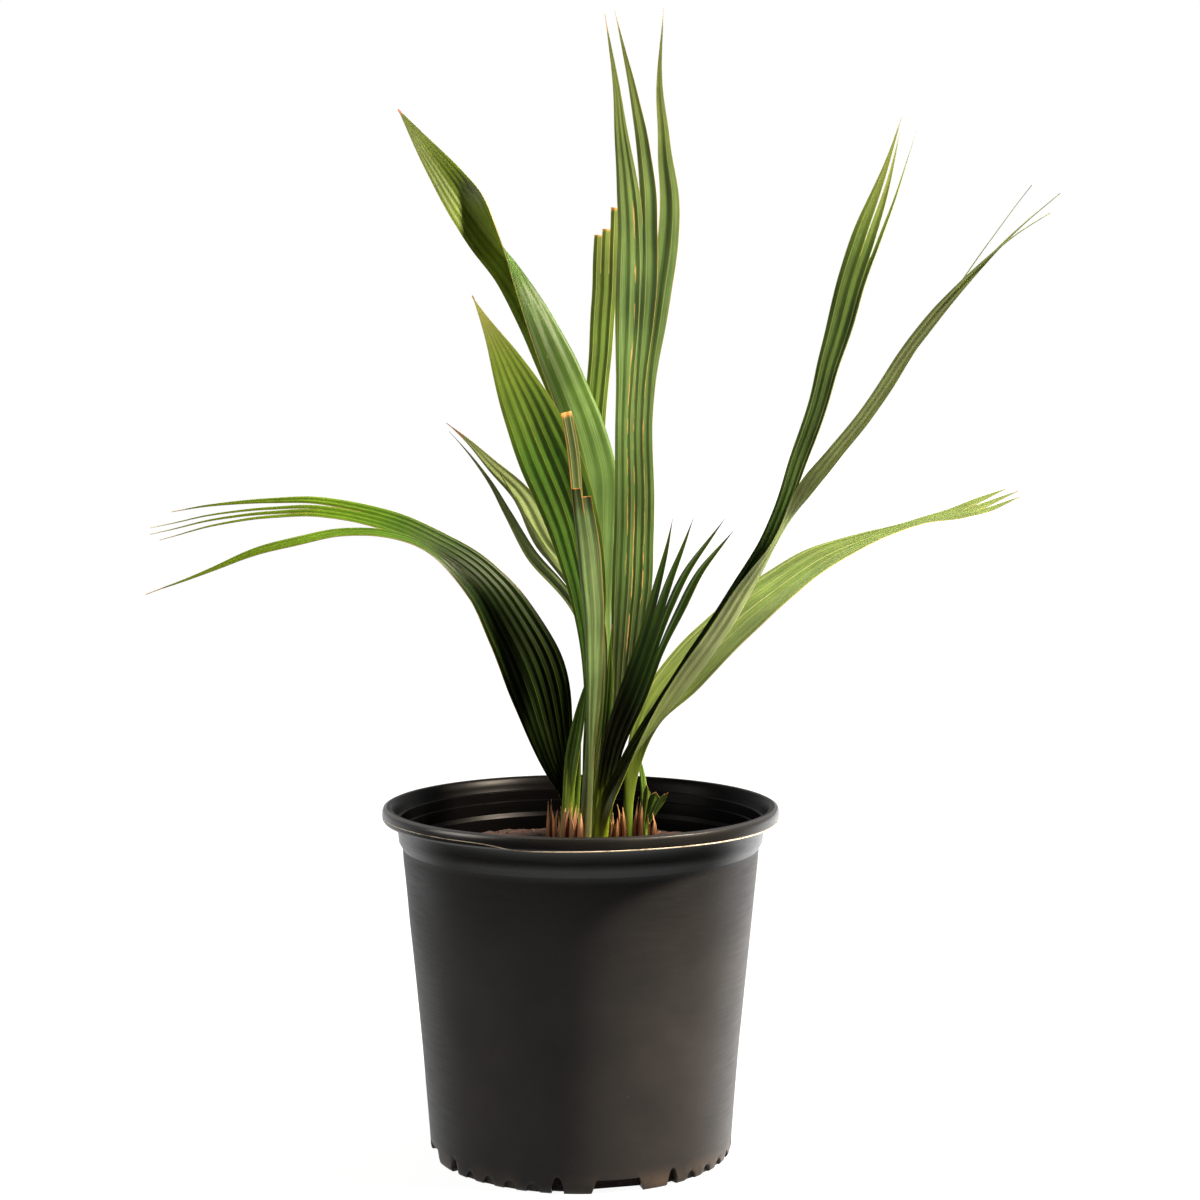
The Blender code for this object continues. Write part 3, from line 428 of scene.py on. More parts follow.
# %% The flash under the lip
FLASH_RADIUS, FLASH_HEIGHT, FLASH_THICKNESS = 139.75, 238.2, 0.42
FLASH_STEP_AZIMUTH, FLASH_STEP, FLASH_STEP_SPAN, FLASH_DROP = -22.0, 3.6, 2.5, 0.4
WORN_PATCH, FLASH_STEPS = 14, 240

# The seam is the same plastic, scuffed and chalky where hands catch it, so it reads as a pale broken line.
flash_skin, tree, shader = new_material("worn_polypropylene_edge")
where = add(tree, "TexCoord").outputs["Object"]
worn = add(tree, "TexNoise", {"Vector": where, "Scale": 1 / (WORN_PATCH * MM), "Detail": 4.0})
pale = add(tree, "ValToRGB", (worn,), stops=[(0.32, "#6b6256"), (0.5, "#cfc3ae")])
tree.links.new(pale.outputs[0], shader.inputs["Base Color"])
shader.inputs["Roughness"].default_value = 0.55


def flash_lift(azimuth):
    wander = 0.5 * math.sin(math.radians(azimuth * 2 + 40)) + 0.25 * math.sin(math.radians(azimuth * 5))
    return wander + FLASH_STEP / (1 + math.exp((azimuth - FLASH_STEP_AZIMUTH) / FLASH_STEP_SPAN)) - FLASH_DROP


flash_sheet = bmesh.new()
hexagon = bmesh.ops.create_circle(flash_sheet, segments=6, radius=FLASH_THICKNESS * MM)["verts"]
bmesh.ops.rotate(flash_sheet, verts=hexagon, cent=(0, 0, 0), matrix=Matrix.Rotation(math.pi / 2, 3, "X"))
bmesh.ops.translate(flash_sheet, verts=hexagon, vec=(FLASH_RADIUS * MM, 0.0, FLASH_HEIGHT * MM))
bmesh.ops.spin(flash_sheet, geom=flash_sheet.verts[:] + flash_sheet.edges[:], cent=(0, 0, 0), axis=(0, 0, 1),
               angle=math.tau, steps=FLASH_STEPS, use_merge=True)
for vert in flash_sheet.verts:
    vert.co.z += flash_lift(math.degrees(math.atan2(vert.co.x, -vert.co.y))) * MM
bmesh.ops.recalc_face_normals(flash_sheet, faces=flash_sheet.faces)
settle(piece_from(flash_sheet, "lip_flash", [flash_skin]), [])

# %% [markdown]
# Bark mix is a crumbly, dark red-brown ground. Its surface is a spun disc, raised to the crown of the plant
# and roughened by noise at three sizes. Loose crumbs of bark and coir lie on it: flattened, bent little
# chips, placed by seeded chance, each with its own shade.

# %% Soil
SOIL_TOP, MOUND_HEIGHT, MOUND_SPREAD, SOIL_GAP = 211.0, 8.0, 42.0, 0.4
SOIL_EDGE_DEPTH, SOIL_LIFT, SOIL_EDGE, SOIL_SINK = 5.0, 0.3, 0.5, 1.0
SOIL_STEPS, SOIL_RING = 176, 1.7
ROUGH = ((16.0, 2.2), (5.0, 1.6), (1.9, 0.8))


def soil_height(radius):
    return SOIL_TOP + MOUND_HEIGHT * math.exp(-(radius / MOUND_SPREAD) ** 2)


def ground(x, y):
    """The soil's height at a place, in millimetres."""
    rough = sum(deep * noise.noise(Vector((x / size, y / size, size))) for size, deep in ROUGH)
    return soil_height(math.hypot(x, y)) + rough - SOIL_SINK


soil_wall = [(radius - SOIL_GAP, max(height, FLOOR + SOIL_LIFT)) for radius, height in inner
             if height < SOIL_TOP - SOIL_EDGE_DEPTH]
edge = soil_wall[-1][0] + SOIL_LIFT
ring_radii = np.arange(0.0, edge - 1.0, SOIL_RING)
soil_line = [(r, soil_height(r)) for r in ring_radii] + [(edge, soil_height(edge))] + soil_wall[::-1]
soil_sheet = spun(soil_line + [(0.0, FLOOR + SOIL_LIFT)], SOIL_STEPS)
for vert in soil_sheet.verts:
    x, y, z = vert.co / MM
    if z > SOIL_TOP - SOIL_EDGE:
        vert.co.z = ground(x, y) * MM
print("soil faces:", len(soil_sheet.faces))

# %% Bark and coir finish
GRIT, CHIP_GRIT = 2.4, 1.5

# Damp composted bark: crumbs that swallow light, red-brown on top and almost black between, where the
# darkness follows the low grit of the bump as a painted shade.
bark_mix, tree, shader = new_material("damp_bark_mix")
where = add(tree, "TexCoord").outputs["Object"]
grit = add(tree, "TexNoise", {"Vector": where, "Scale": 1 / (GRIT * MM), "Detail": 6.0, "Roughness": 0.7})
earth_and_crevice_shade = add(tree, "ValToRGB", (grit,), stops=[(0.3, "#060302"), (0.52, "#1c0b05"), (0.72, "#4a2212")])
relief = add(tree, "Bump", {"Height": grit, "Strength": 0.6, "Distance": 0.8 * MM})
tree.links.new(earth_and_crevice_shade.outputs[0], shader.inputs["Base Color"])
tree.links.new(relief.outputs[0], shader.inputs["Normal"])
shader.inputs["Roughness"].default_value = 0.85
settle(piece_from(soil_sheet, "bark_mix", [bark_mix]), ["soil"])

# %% Crumbs
CRUMBS, CRUMB_SPREAD, COIR_SHARE = 620, 116.0, 0.2
rng = random.Random(11)

# Loose chips of bark and coir fibre are drier, so they are lighter, and each has its own shade.
crumb_skin, tree, shader = new_material("bark_crumbs")
where = add(tree, "TexCoord").outputs["Object"]
shade = add(tree, "Attribute", attribute_name="shade").outputs["Fac"]
grit = add(tree, "TexNoise", {"Vector": where, "Scale": 1 / (CHIP_GRIT * MM), "Detail": 4.0})
speckled = add(tree, "Math", (shade, grit), **TIMES)
bark = add(tree, "ValToRGB", (speckled,),
           stops=[(0.08, "#0d0503"), (0.28, "#351408"), (0.42, "#6e2f14"), (0.58, "#a8703f")])
tree.links.new(bark.outputs[0], shader.inputs["Base Color"])
shader.inputs["Roughness"].default_value = 0.8

crumb_sheet = bmesh.new()
tint = crumb_sheet.verts.layers.float.new("shade")
for _ in range(CRUMBS):
    far, turn = CRUMB_SPREAD * math.sqrt(rng.random()), rng.uniform(0, math.tau)
    x, y = far * math.cos(turn), far * math.sin(turn)
    long, wide, thick = rng.uniform(1.6, 5.5), rng.uniform(1.0, 2.4), rng.uniform(0.6, 1.5)
    if rng.random() < COIR_SHARE:
        long, wide, thick = rng.uniform(6, 14), 0.6, 0.5
    made = bmesh.ops.create_icosphere(crumb_sheet, subdivisions=1, radius=MM)["verts"]
    tilt = Matrix.Rotation(rng.uniform(-0.5, 0.5), 3, "X") @ Matrix.Rotation(rng.uniform(-0.4, 0.4), 3, "Y")
    spin = turn_z(rng.uniform(0, 360)) @ tilt @ Matrix.Diagonal((long, wide, thick))
    own = rng.uniform(0.25, 1.0)
    for vert in made:
        vert.co = spin @ (vert.co * rng.uniform(0.6, 1.1)) * 0.5
        vert[tint] = own
    place = Vector((x, y, ground(x, y) + thick * 0.2)) * MM
    bmesh.ops.translate(crumb_sheet, verts=made, vec=place)
settle(piece_from(crumb_sheet, "bark_crumbs", [crumb_skin]), [])

# %% [markdown]
# A palm leaf is folded like a fan: its blade is one sheet with straight creases that run from the petiole
# to the tips, and it splits along some of them. So each frond is a grid of columns and rows. A line of
# stations down its middle gives place, width, turn and fold, and a smooth curve is read through them.
# A station is x, y, z and the width in millimetres, then turn and fold in degrees. Turn 0 shows the upper
# side to the camera, and 180 the underside. A fold near 160 shuts the blade along its middle.

# %% Reading a frond's line
LINE_SAMPLES = 240
VIEWER = np.array((0.0, -1.0, 0.0))


def unit(rows):
    return rows / np.linalg.norm(rows, axis=-1, keepdims=True)


def smooth_line(rows):
    """Rows of a table, read along a smooth curve through them."""
    rows = np.array(rows, float)
    steps = np.linalg.norm(np.diff(rows[:, :3], axis=0), axis=1)
    at = np.concatenate(([0.0], np.cumsum(steps)))
    slopes = np.gradient(rows, at, axis=0)
    where = np.linspace(0.0, at[-1], LINE_SAMPLES)
    i = np.clip(np.searchsorted(at, where, side="right") - 1, 0, len(steps) - 1)
    h = steps[i][:, None]
    u = (where[:, None] - at[i][:, None]) / h
    return ((1 + 2 * u) * (1 - u) ** 2 * rows[i] + u * (1 - u) ** 2 * h * slopes[i]
            + u * u * (3 - 2 * u) * rows[i + 1] - u * u * (1 - u) * h * slopes[i + 1])


def with_frames(line):
    """The same rows with the directions across the blade and out of its upper side added."""
    along = unit(np.gradient(line[:, :3], axis=0))
    right = unit(np.cross(along, VIEWER))
    front = np.cross(right, along)
    turn = np.radians(line[:, 4:5])
    across = right * np.cos(turn) - front * np.sin(turn)
    out = front * np.cos(turn) + right * np.sin(turn)
    return np.hstack((line, across, out))


def length_of(line):
    return np.sum(np.linalg.norm(np.diff(line[:, :3], axis=0), axis=1))


def read(line, share):
    places = np.linspace(0.0, 1.0, len(line))
    return np.stack([np.interp(share, places, column) for column in line.T], axis=-1)


print("samples along a frond:", LINE_SAMPLES)

# %% [markdown]
# Across the blade, the cut is a zigzag: each column leans one way and the next the other, by the frond's own
# pleat angle or else by the usual 30 degrees, and the whole cut bends at its middle by the fold. The finer
# grid has several strips to a column, so its creases can be rounded: the lean swings over as a steep sine
# instead of at once. Adding up the strips gives the cut.

# %% The cut across a blade
STRIPS = 4
PLEAT_ANGLE, HINGE_SHARE, CREASE = 30.0, 0.2, 1.9
PLEAT_START, PLEAT_GROWTH, SMALL_SHARE = 0.6, 0.8, 0.01
FULL_PLEAT_WIDTH, LEAST_PLEAT = 1.6, 0.3


def cut_points(columns, share, width, fold, pleat):
    """Where each share of the width lies in its own cut, along the width and out of the blade."""
    fine = columns * STRIPS
    middle = (np.arange(fine) + 0.5) / fine
    zigzag = np.tanh(CREASE * np.sin(np.pi * middle * columns)) / math.tanh(CREASE)
    bend = np.clip((middle - 0.5) / HINGE_SHARE + 0.5, 0.0, 1.0)
    heading = np.radians(fold)[:, None] * bend + np.radians(pleat)[:, None] * zigzag
    step = (width / fine)[:, None]
    zero = np.zeros((len(width), 1))
    x = np.hstack((zero, np.cumsum(np.cos(heading) * step, axis=1)))
    y = np.hstack((zero, np.cumsum(np.sin(heading) * step, axis=1)))
    x, y = x - x[:, fine // 2:fine // 2 + 1], y - y[:, fine // 2:fine // 2 + 1]
    at = np.clip(share, 0.0, 1.0) * fine
    left = np.minimum(at.astype(int), fine - 1)
    part, row = at - left, np.arange(len(width))
    return (x[row, left] * (1 - part) + x[row, left + 1] * part,
            y[row, left] * (1 - part) + y[row, left + 1] * part)


print("strips to a column:", STRIPS)

# %% [markdown]
# The free ends are fingers. A finger is the share of the width that it takes, where its slit starts and
# where it ends along the blade, how far it drifts aside in millimetres, and how pointed it is: 1 for a tip
# and 0 for a straight cut. Wide parts that go their own way after a split are straps, each with a path.
# A finger is drawn in towards its own middle as it runs out, and flattens faster than it narrows.

# %% A frond's shape
TIP_WIDTH = 1.0
TAPER, DRIFT, FLATTENING = 1.6, 1.7, 2.5
STRAP_LEAD, STRAP_TURN = 0.05, 0.15


class Blade:
    """A frond's main line and straps, from which any point of it can be read."""

    def __init__(self, design):
        self.columns = design["pleats"] * 2
        self.petiole = design["petiole"]
        self.pleat = design.get("pleat", PLEAT_ANGLE)
        self.line = with_frames(smooth_line(design["stations"]))
        self.split = design.get("split", 1.0)
        self.fingers = design.get("fingers", [])
        self.straps = [self.strap(strap) for strap in design.get("straps", [])]
        main = length_of(self.line)
        self.length = main + max([strap["length"] for strap in self.straps], default=0.0)
        self.knee = main / self.length
        self.width = max(row[3] for row in design["stations"])

    def from_length(self, share):
        """The table's own share along the frond, from the share of its real length."""
        return np.interp(share, (0.0, self.knee, 1.0), (0.0, self.split, 1.0)) if self.straps else share

    def to_length(self, along):
        return np.interp(along, (0.0, self.split, 1.0), (0.0, self.knee, 1.0)) if self.straps else along

    def pleat_at(self, share, width):
        """The pleats start where the petiole ends and fade where the blade is narrow."""
        reach = self.petiole * PLEAT_GROWTH + SMALL_SHARE
        grown = np.clip((share - self.petiole * PLEAT_START) / reach, 0.0, 1.0)
        return self.pleat * grown * np.clip(width / (self.columns * FULL_PLEAT_WIDTH), LEAST_PLEAT, 1.0)

    def centre(self, share, across):
        row = read(self.line, np.array([share]))
        x, y = cut_points(self.columns, np.array([across]), row[:, 3], row[:, 5],
                          self.pleat_at(share, row[:, 3]))
        return row[0], (row[:, :3] + row[:, 6:9] * x[:, None] + row[:, 9:12] * y[:, None])[0]

    def strap(self, strap):
        low, high = strap["share"]
        middle = (low + high) / 2
        before, near = self.centre(self.split - STRAP_LEAD, middle), self.centre(self.split, middle)
        rows = [(*end[1], end[0][3] * (high - low), end[0][4], end[0][5]) for end in (before, near)]
        line = smooth_line(rows + [(*row, near[0][5]) for row in strap["path"]])
        ahead, total = np.linalg.norm(near[1] - before[1]), length_of(line)
        return dict(strap, line=with_frames(line), start=ahead / total, length=total - ahead, root=near[0])

    def points(self, across, along, owner):
        """The place in millimetres of each point of the grid."""
        places = np.zeros((len(across), 3))
        rest = np.ones(len(across), bool)
        for strap in self.straps:
            low, high = strap["share"]
            mine = rest & (along > self.split) & (owner >= low) & (owner <= high)
            way = (along[mine] - self.split) / (1.0 - self.split)
            places[mine] = self.strap_points(strap, across[mine], way, owner[mine])
            rest &= ~mine
        places[rest] = self.main_points(across[rest], along[rest], owner[rest])
        return places

    def main_points(self, across, along, owner):
        way, grow, aside, middle = into_fingers(self.fingers, owner, along)
        row = read(self.line, way)
        pleat = self.pleat_at(way, row[:, 3])
        x, y = self.narrowed(row[:, 3], row[:, 5], pleat, across, middle, grow)
        return row[:, :3] + row[:, 6:9] * x[:, None] + row[:, 9:12] * y[:, None] + aside

    def strap_points(self, strap, across, along, owner):
        low, high = strap["share"]
        way, grow, aside, middle = into_fingers(strap["fingers"], owner, along)
        row = read(strap["line"], strap["start"] + way * (1.0 - strap["start"]))
        whole = row[:, 3] / (high - low)
        pleat = self.pleat_at(1.0, whole)
        x, y = self.narrowed(whole, row[:, 5], pleat, across, middle, grow)
        cx, cy = cut_points(self.columns, np.full(len(way), (low + high) / 2), whole, row[:, 5], pleat)
        blend = np.clip(way / STRAP_TURN, 0.0, 1.0)[:, None]
        across_way = unit(strap["root"][6:9] * (1 - blend) + row[:, 6:9] * blend)
        out = unit(strap["root"][9:12] * (1 - blend) + row[:, 9:12] * blend)
        return row[:, :3] + across_way * (x - cx)[:, None] + out * (y - cy)[:, None] + aside

    def narrowed(self, width, fold, pleat, across, middle, grow):
        """Points of the cut, drawn in towards the middle of their finger."""
        x, y = cut_points(self.columns, across, width, fold, pleat)
        mx, my = cut_points(self.columns, middle, width, fold, pleat)
        least = TIP_WIDTH / np.maximum(width, TIP_WIDTH)
        grow = np.where(grow < 1.0, np.maximum(grow, least), 1.0)
        return mx + (x - mx) * grow, my + (y - my) * grow ** FLATTENING


def into_fingers(fingers, owner, along):
    """How far along, how wide, how far aside and about which middle each point of a finger lies."""
    way, grow = along.copy(), np.ones(len(along))
    aside, middle = np.zeros((len(along), 3)), np.full(len(along), 0.5)
    free = np.ones(len(along), bool)
    for low, high, slit, end, drift, pointed in fingers:
        mine = free & (owner >= low) & (owner <= high) & (along > slit)
        gone = (along[mine] - slit) / (1.0 - slit)
        way[mine] = slit + gone * (end - slit)
        grow[mine] = 1.0 - gone ** TAPER if pointed else 1.0
        aside[mine] = np.array(drift, float) * gone[:, None] ** DRIFT
        middle[mine] = (low + high) / 2
        free &= ~mine
    return way, grow, aside, middle


print("a finger's tip is", TIP_WIDTH, "mm wide")

# %% [markdown]
# The grid is slit first and bent after. Splitting the edges along a column line makes a slit. For the
# finish, the UV map holds the share across and along the blade, and two float layers go with it: rim marks
# the margin, where a leaf dries first, and open holds how wide each strip has stayed, because fine lines
# have to fade where a strip runs out. A slow wave of less than a millimetre keeps the sheet from looking
# ruled; its noise is seeded, so that every run gives the same leaf. Solidify gives the sheet its half
# millimetre, and the petiole its 3.4 mm through a vertex group. The underside gets the second material.

# %% From a design to a leaf
ROW_STEP, LEAST_ROWS = 4.0, 12
BLADE_THICKNESS, PETIOLE_THICKNESS = 0.5, 3.4
STALK_REACH, STALK_FULLNESS = 1.3, 1.6
WAVE, WAVE_SIZE, WAVE_SEED = 0.7, 34.0, 5
SAME_LINE, ON_A_COLUMN = 1e-4, 1e-3
noise.seed_set(WAVE_SEED)


def slits(blade, rows):
    """The column lines that are slit, and the row that each slit starts at."""
    found = {}
    for strap in blade.straps:
        if strap["share"][1] < 1.0:
            found[round(strap["share"][1] * blade.columns)] = blade.split
        for low, high, slit, end, drift, pointed in strap["fingers"]:
            if high < strap["share"][1]:
                found[round(high * blade.columns)] = blade.split + slit * (1 - blade.split)
    for low, high, slit, end, drift, pointed in blade.fingers:
        if high < 1.0:
            found[round(high * blade.columns)] = slit
    return {column: round(float(blade.to_length(along)) * rows) for column, along in found.items()}


def slit_grid(columns, rows, found):
    """A grid of one unit each way, slit along the column lines that found names."""
    sheet = bmesh.new()
    bmesh.ops.create_grid(sheet, x_segments=columns * STRIPS, y_segments=rows, size=0.5)
    bmesh.ops.translate(sheet, verts=sheet.verts, vec=(0.5, 0.5, 0.0))
    cuts = []
    for edge in sheet.edges:
        low, high = sorted((vert.co for vert in edge.verts), key=lambda place: place.y)
        column = low.x * columns
        runs_along = abs(low.x - high.x) < SAME_LINE and abs(column - round(column)) < ON_A_COLUMN
        if runs_along and round(column) in found and round(low.y * rows) >= found[round(column)]:
            cuts.append(edge)
    bmesh.ops.split_edges(sheet, edges=cuts)
    return sheet


def mapped(sheet, petiole):
    """The sheet's UV map, its margin in the rim layer, and a layer for how far the blade is open."""
    flat = sheet.loops.layers.uv.new("blade")
    rim = sheet.verts.layers.float.new("rim")
    sheet.verts.layers.float.new("open")
    for face in sheet.faces:
        for loop in face.loops:
            loop[flat].uv = loop.vert.co.xy
    for vert in sheet.verts:
        vert[rim] = float(vert.is_boundary and vert.co.y > petiole)


def measure_opening(sheet, crossing, full):
    """How wide each strip of the bent sheet is, as a share of a full strip."""
    opening = sheet.verts.layers.float["open"]
    for edge in crossing:
        for vert in edge.verts:
            vert[opening] = max(vert[opening], edge.calc_length() / full)


def leaf(name, design, materials, nodes):
    """The whole way from a table to a finished piece that stands for its node."""
    blade = Blade(design)
    rows = max(LEAST_ROWS, round(blade.length / design.get("row_step", ROW_STEP)))
    sheet = slit_grid(blade.columns, rows, slits(blade, rows))
    mapped(sheet, float(blade.to_length(blade.petiole)))
    crossing = [edge for edge in sheet.edges if abs(edge.verts[0].co.y - edge.verts[1].co.y) < MERGE]
    across = np.array([v.co.x for v in sheet.verts])
    along = blade.from_length(np.array([v.co.y for v in sheet.verts]))
    owner = np.array([np.mean([f.calc_center_median().x for f in v.link_faces]) for v in sheet.verts])
    body = np.clip(1.0 - along / (blade.petiole * STALK_REACH + 0.001), 0.0, 1.0)
    for vert, place, stiff in zip(sheet.verts, blade.points(across, along, owner), body):
        wave = noise.noise_vector(Vector(place) / WAVE_SIZE) * WAVE * (1.0 - stiff)
        vert.co = (Vector(place) + wave) * MM
    measure_opening(sheet, crossing, blade.width * MM / (blade.columns * STRIPS))
    piece = piece_from(sheet, name, materials)
    stalk = piece.vertex_groups.new(name="stalk")
    weight = np.minimum(1.0, body * STALK_FULLNESS) * np.sqrt(np.clip(1.0 - (2 * across - 1) ** 2, 0.0, 1.0))
    for index, amount in enumerate(weight):
        stalk.add([index], float(amount), "REPLACE")
    thick = piece.modifiers.new("thickness", "SOLIDIFY")
    thick.thickness = PETIOLE_THICKNESS * MM
    thick.offset = 0.0
    thick.vertex_group = "stalk"
    thick.thickness_vertex_group = BLADE_THICKNESS / PETIOLE_THICKNESS
    thick.material_offset = 1
    settle(piece, nodes)


print("a row every", ROW_STEP, "mm")

# %% [markdown]
# The skin of a palm leaf is waxy, and a little light passes through it, so subsurface scattering is used
# with a short way. Its colour runs from the petiole to the tip, a pale rib stands on each crease, with finer
# ones on each flank, and hair-fine veins run between, which fade where a strip is narrow and towards the
# tip. Margins and tips dry to tan, rubbed places leave short flecks, and some creases have dried slits. All
# of this follows the UV map, so the lines run with the blade, and their sizes are worked out from the
# blade's own width and length in millimetres.

# %% The finish of a leaf's side
VEIN, STREAK, FLECK_WIDE, FLECK_LONG, PATCH = 0.55, 70.0, 1.2, 14.0, 38.0
VEINS_TO_A_PLEAT = 6.0
SLIT_WIDTH, SLIT_CORE, SLIT_END = 0.7, 0.3, 0.02
TIP_FADE = 0.015
RELIEF_STRENGTH, RELIEF_DEPTH = 0.14, 0.3
LIGHT_SHARE, LIGHT_WAY, LIGHT_COLOUR = 0.6, 0.6, (0.8, 1.0, 0.3)


def leaf_skin(name, design, tones, rib, cast="#ffffff", rib_strength=0.6, under=False, margin="#b99a5e",
              dry=0.6, tip="#8f6b3c", tip_start=0.985, flecks=0.15, fleck="#b39a63", sheen=0.42, shade=0.72,
              fine=0.5, banding=0.14, gloss=0.35, splits=()):
    """Waxy palm leaf: the cuticle's soft gloss over ribbed green, as the eye sees it on one side."""
    blade = Blade(design)
    width, length, pleats = blade.width, blade.length, float(design["pleats"])
    made, tree, shader = new_material(name)
    flat = add(tree, "UVMap", uv_map="blade")
    where = add(tree, "TexCoord").outputs["Object"]
    parts = add(tree, "SeparateXYZ", (flat,))
    u, v = parts.outputs["X"], parts.outputs["Y"]

    wide = add(tree, "Attribute", attribute_name="open").outputs["Fac"]
    opening = add(tree, "MapRange", (wide, 0.3, 0.75, 0.1, 1.0), **SMOOTH)
    calm = add(tree, "MapRange", (v, 0.6, 0.9, 1.0, 0.15), **SMOOTH)
    detail = add(tree, "Math", (opening, calm), **TIMES)
    fibres = add(tree, "Mapping", {"Vector": flat, "Scale": (width / VEIN, length / STREAK, 1.0)})
    grain = add(tree, "TexNoise", {"Vector": fibres, "Scale": 1.0, "Detail": 2.0})
    uneven = add(tree, "Math", (grain, 0.5), operation="SUBTRACT")
    vein = add(tree, "Math", (uneven, detail, 0.5), operation="MULTIPLY_ADD")

    patch = add(tree, "TexNoise", {"Vector": where, "Scale": 1 / (PATCH * MM), "Detail": 4.0})
    crease = add(tree, "Math", (u, pleats), **TIMES)
    half = add(tree, "Math", (add(tree, "Math", (crease, 2.0), **TIMES),), operation="FLOOR")
    flank = add(tree, "TexWhiteNoise", {"W": half}, noise_dimensions="1D")
    streaked = add(tree, "MapRange", (vein, 0.3, 0.7, shade, 1.12), **SMOOTH)
    patched = add(tree, "MapRange", (patch, 0.3, 0.7, 0.82, 1.15), **SMOOTH)
    banded = add(tree, "MapRange", (flank, 0.0, 1.0, 1.0 - banding, 1.0 + banding * 0.6), **SMOOTH)
    light = add(tree, "Math", (add(tree, "Math", (streaked, patched), **TIMES), banded), **TIMES)
    tone = add(tree, "ValToRGB", (v,), stops=tones)
    shaded = add(tree, "Mix", {0: 1.0, 6: tone, 7: light}, **BLEND_TIMES)
    body = add(tree, "Mix", {0: 1.0, 6: shaded, 7: linear(cast)}, **BLEND_TIMES)

    swing = add(tree, "Math", (crease, 0.5), operation="PINGPONG")
    on_rib = add(tree, "MapRange", (swing, 0.04, 0.0) if under else (swing, 0.455, 0.495), **SMOOTH)
    nearest = add(tree, "Math", (crease,), operation="ROUND" if under else "FLOOR")
    own = add(tree, "TexWhiteNoise", {"W": nearest}, noise_dimensions="1D")
    varied = add(tree, "MapRange", (own, 0.0, 1.0, rib_strength * 0.35, rib_strength), **SMOOTH)
    kept = add(tree, "MapRange", (opening, 0.15, 0.7, 0.35, 1.0), **SMOOTH)
    on_rib = add(tree, "Math", (add(tree, "Math", (on_rib, varied), **TIMES), kept), **TIMES)
    fine_crease = add(tree, "Math", (crease, VEINS_TO_A_PLEAT), **TIMES)
    hairs = add(tree, "Math", (fine_crease, 0.5), operation="PINGPONG")
    hair = add(tree, "MapRange", (hairs, 0.36, 0.5, 0.0, fine * 0.45), **SMOOTH)
    broken = add(tree, "MapRange", (vein, 0.35, 0.65), **SMOOTH)
    on_hair = add(tree, "Math", (add(tree, "Math", (hair, detail), **TIMES), broken), **TIMES)
    lines = add(tree, "Math", (on_rib, on_hair), operation="MAXIMUM")
    done = add(tree, "Mix", {0: lines, 6: body, 7: linear(rib)}, **BLEND)

    spread = add(tree, "Mapping", {"Vector": flat, "Scale": (width / FLECK_WIDE, length / FLECK_LONG, 1.0)})
    marks = add(tree, "TexNoise", {"Vector": spread, "Scale": 1.0, "Detail": 2.0})
    room = add(tree, "MapRange", (opening, 0.2, 0.8, 0.7, 1.0), **SMOOTH)
    rubbed = add(tree, "Math", (marks, room), **TIMES)
    spots = add(tree, "MapRange", (rubbed, 0.80 - flecks * 0.2, 0.84 - flecks * 0.2), **SMOOTH)
    done = add(tree, "Mix", {0: spots, 6: done, 7: linear(fleck)}, **BLEND)
    for place, low, high in splits:
        off = add(tree, "Math", (add(tree, "Math", (u, place), operation="SUBTRACT"),), operation="ABSOLUTE")
        near = add(tree, "MapRange", (off, SLIT_WIDTH / width, SLIT_CORE / width), **SMOOTH)
        after = add(tree, "MapRange", (v, low, low + SLIT_END), **SMOOTH)
        before = add(tree, "MapRange", (v, high, high - SLIT_END), **SMOOTH)
        slit = add(tree, "Math", (near, add(tree, "Math", (after, before), **TIMES)), **TIMES)
        ragged = add(tree, "MapRange", (rubbed, 0.47, 0.56), **SMOOTH)
        torn = add(tree, "Math", (slit, ragged), **TIMES)
        done = add(tree, "Mix", {0: torn, 6: done, 7: linear(margin)}, **BLEND)
    rim = add(tree, "Attribute", attribute_name="rim").outputs["Fac"]
    dried = add(tree, "MapRange", (rim, 0.55, 0.95, 0.0, dry), **SMOOTH)
    done = add(tree, "Mix", {0: dried, 6: done, 7: linear(margin)}, **BLEND)
    end = add(tree, "MapRange", (v, tip_start, min(1.0, tip_start + TIP_FADE)), **SMOOTH)
    done = add(tree, "Mix", {0: end, 6: done, 7: linear(tip)}, **BLEND)

    low_grain = add(tree, "Math", (vein, 0.4), **TIMES)
    raised = add(tree, "Math", (lines, 0.6, low_grain), operation="MULTIPLY_ADD")
    relief = add(tree, "Bump", {"Height": raised, "Strength": RELIEF_STRENGTH, "Distance": RELIEF_DEPTH * MM})
    matt = add(tree, "MapRange", (vein, 0.0, 1.0, sheen - 0.06, sheen + 0.08), **SMOOTH)
    tree.links.new(done.outputs[2], shader.inputs["Base Color"])
    tree.links.new(matt.outputs[0], shader.inputs["Roughness"])
    tree.links.new(relief.outputs[0], shader.inputs["Normal"])
    shader.inputs["Specular IOR Level"].default_value = gloss * 0.7 if under else gloss
    shader.inputs["Subsurface Weight"].default_value = LIGHT_SHARE
    shader.inputs["Subsurface Radius"].default_value = LIGHT_COLOUR
    shader.inputs["Subsurface Scale"].default_value = LIGHT_WAY * MM
    return made


print("a vein is drawn", VEIN, "mm wide, a few times as coarse as the real one, so that it shows")

# %% [markdown]
# Now the fronds, one by one, from the left of the plant to its right. Each has its own table, then the two
# sides of its skin: the upper side first, then the underside, which is paler and a little bluish. A tone
# belongs to a share of the frond's length, and the cast tints the whole side to the light of the photograph.


# %% Two sides at once
def both_sides(name, design, upper, under, **shared):
    return [leaf_skin(name + "_upper_side", design, **shared, **upper),
            leaf_skin(name + "_underside", design, under=True, **shared, **under)]


print("skins come in pairs")
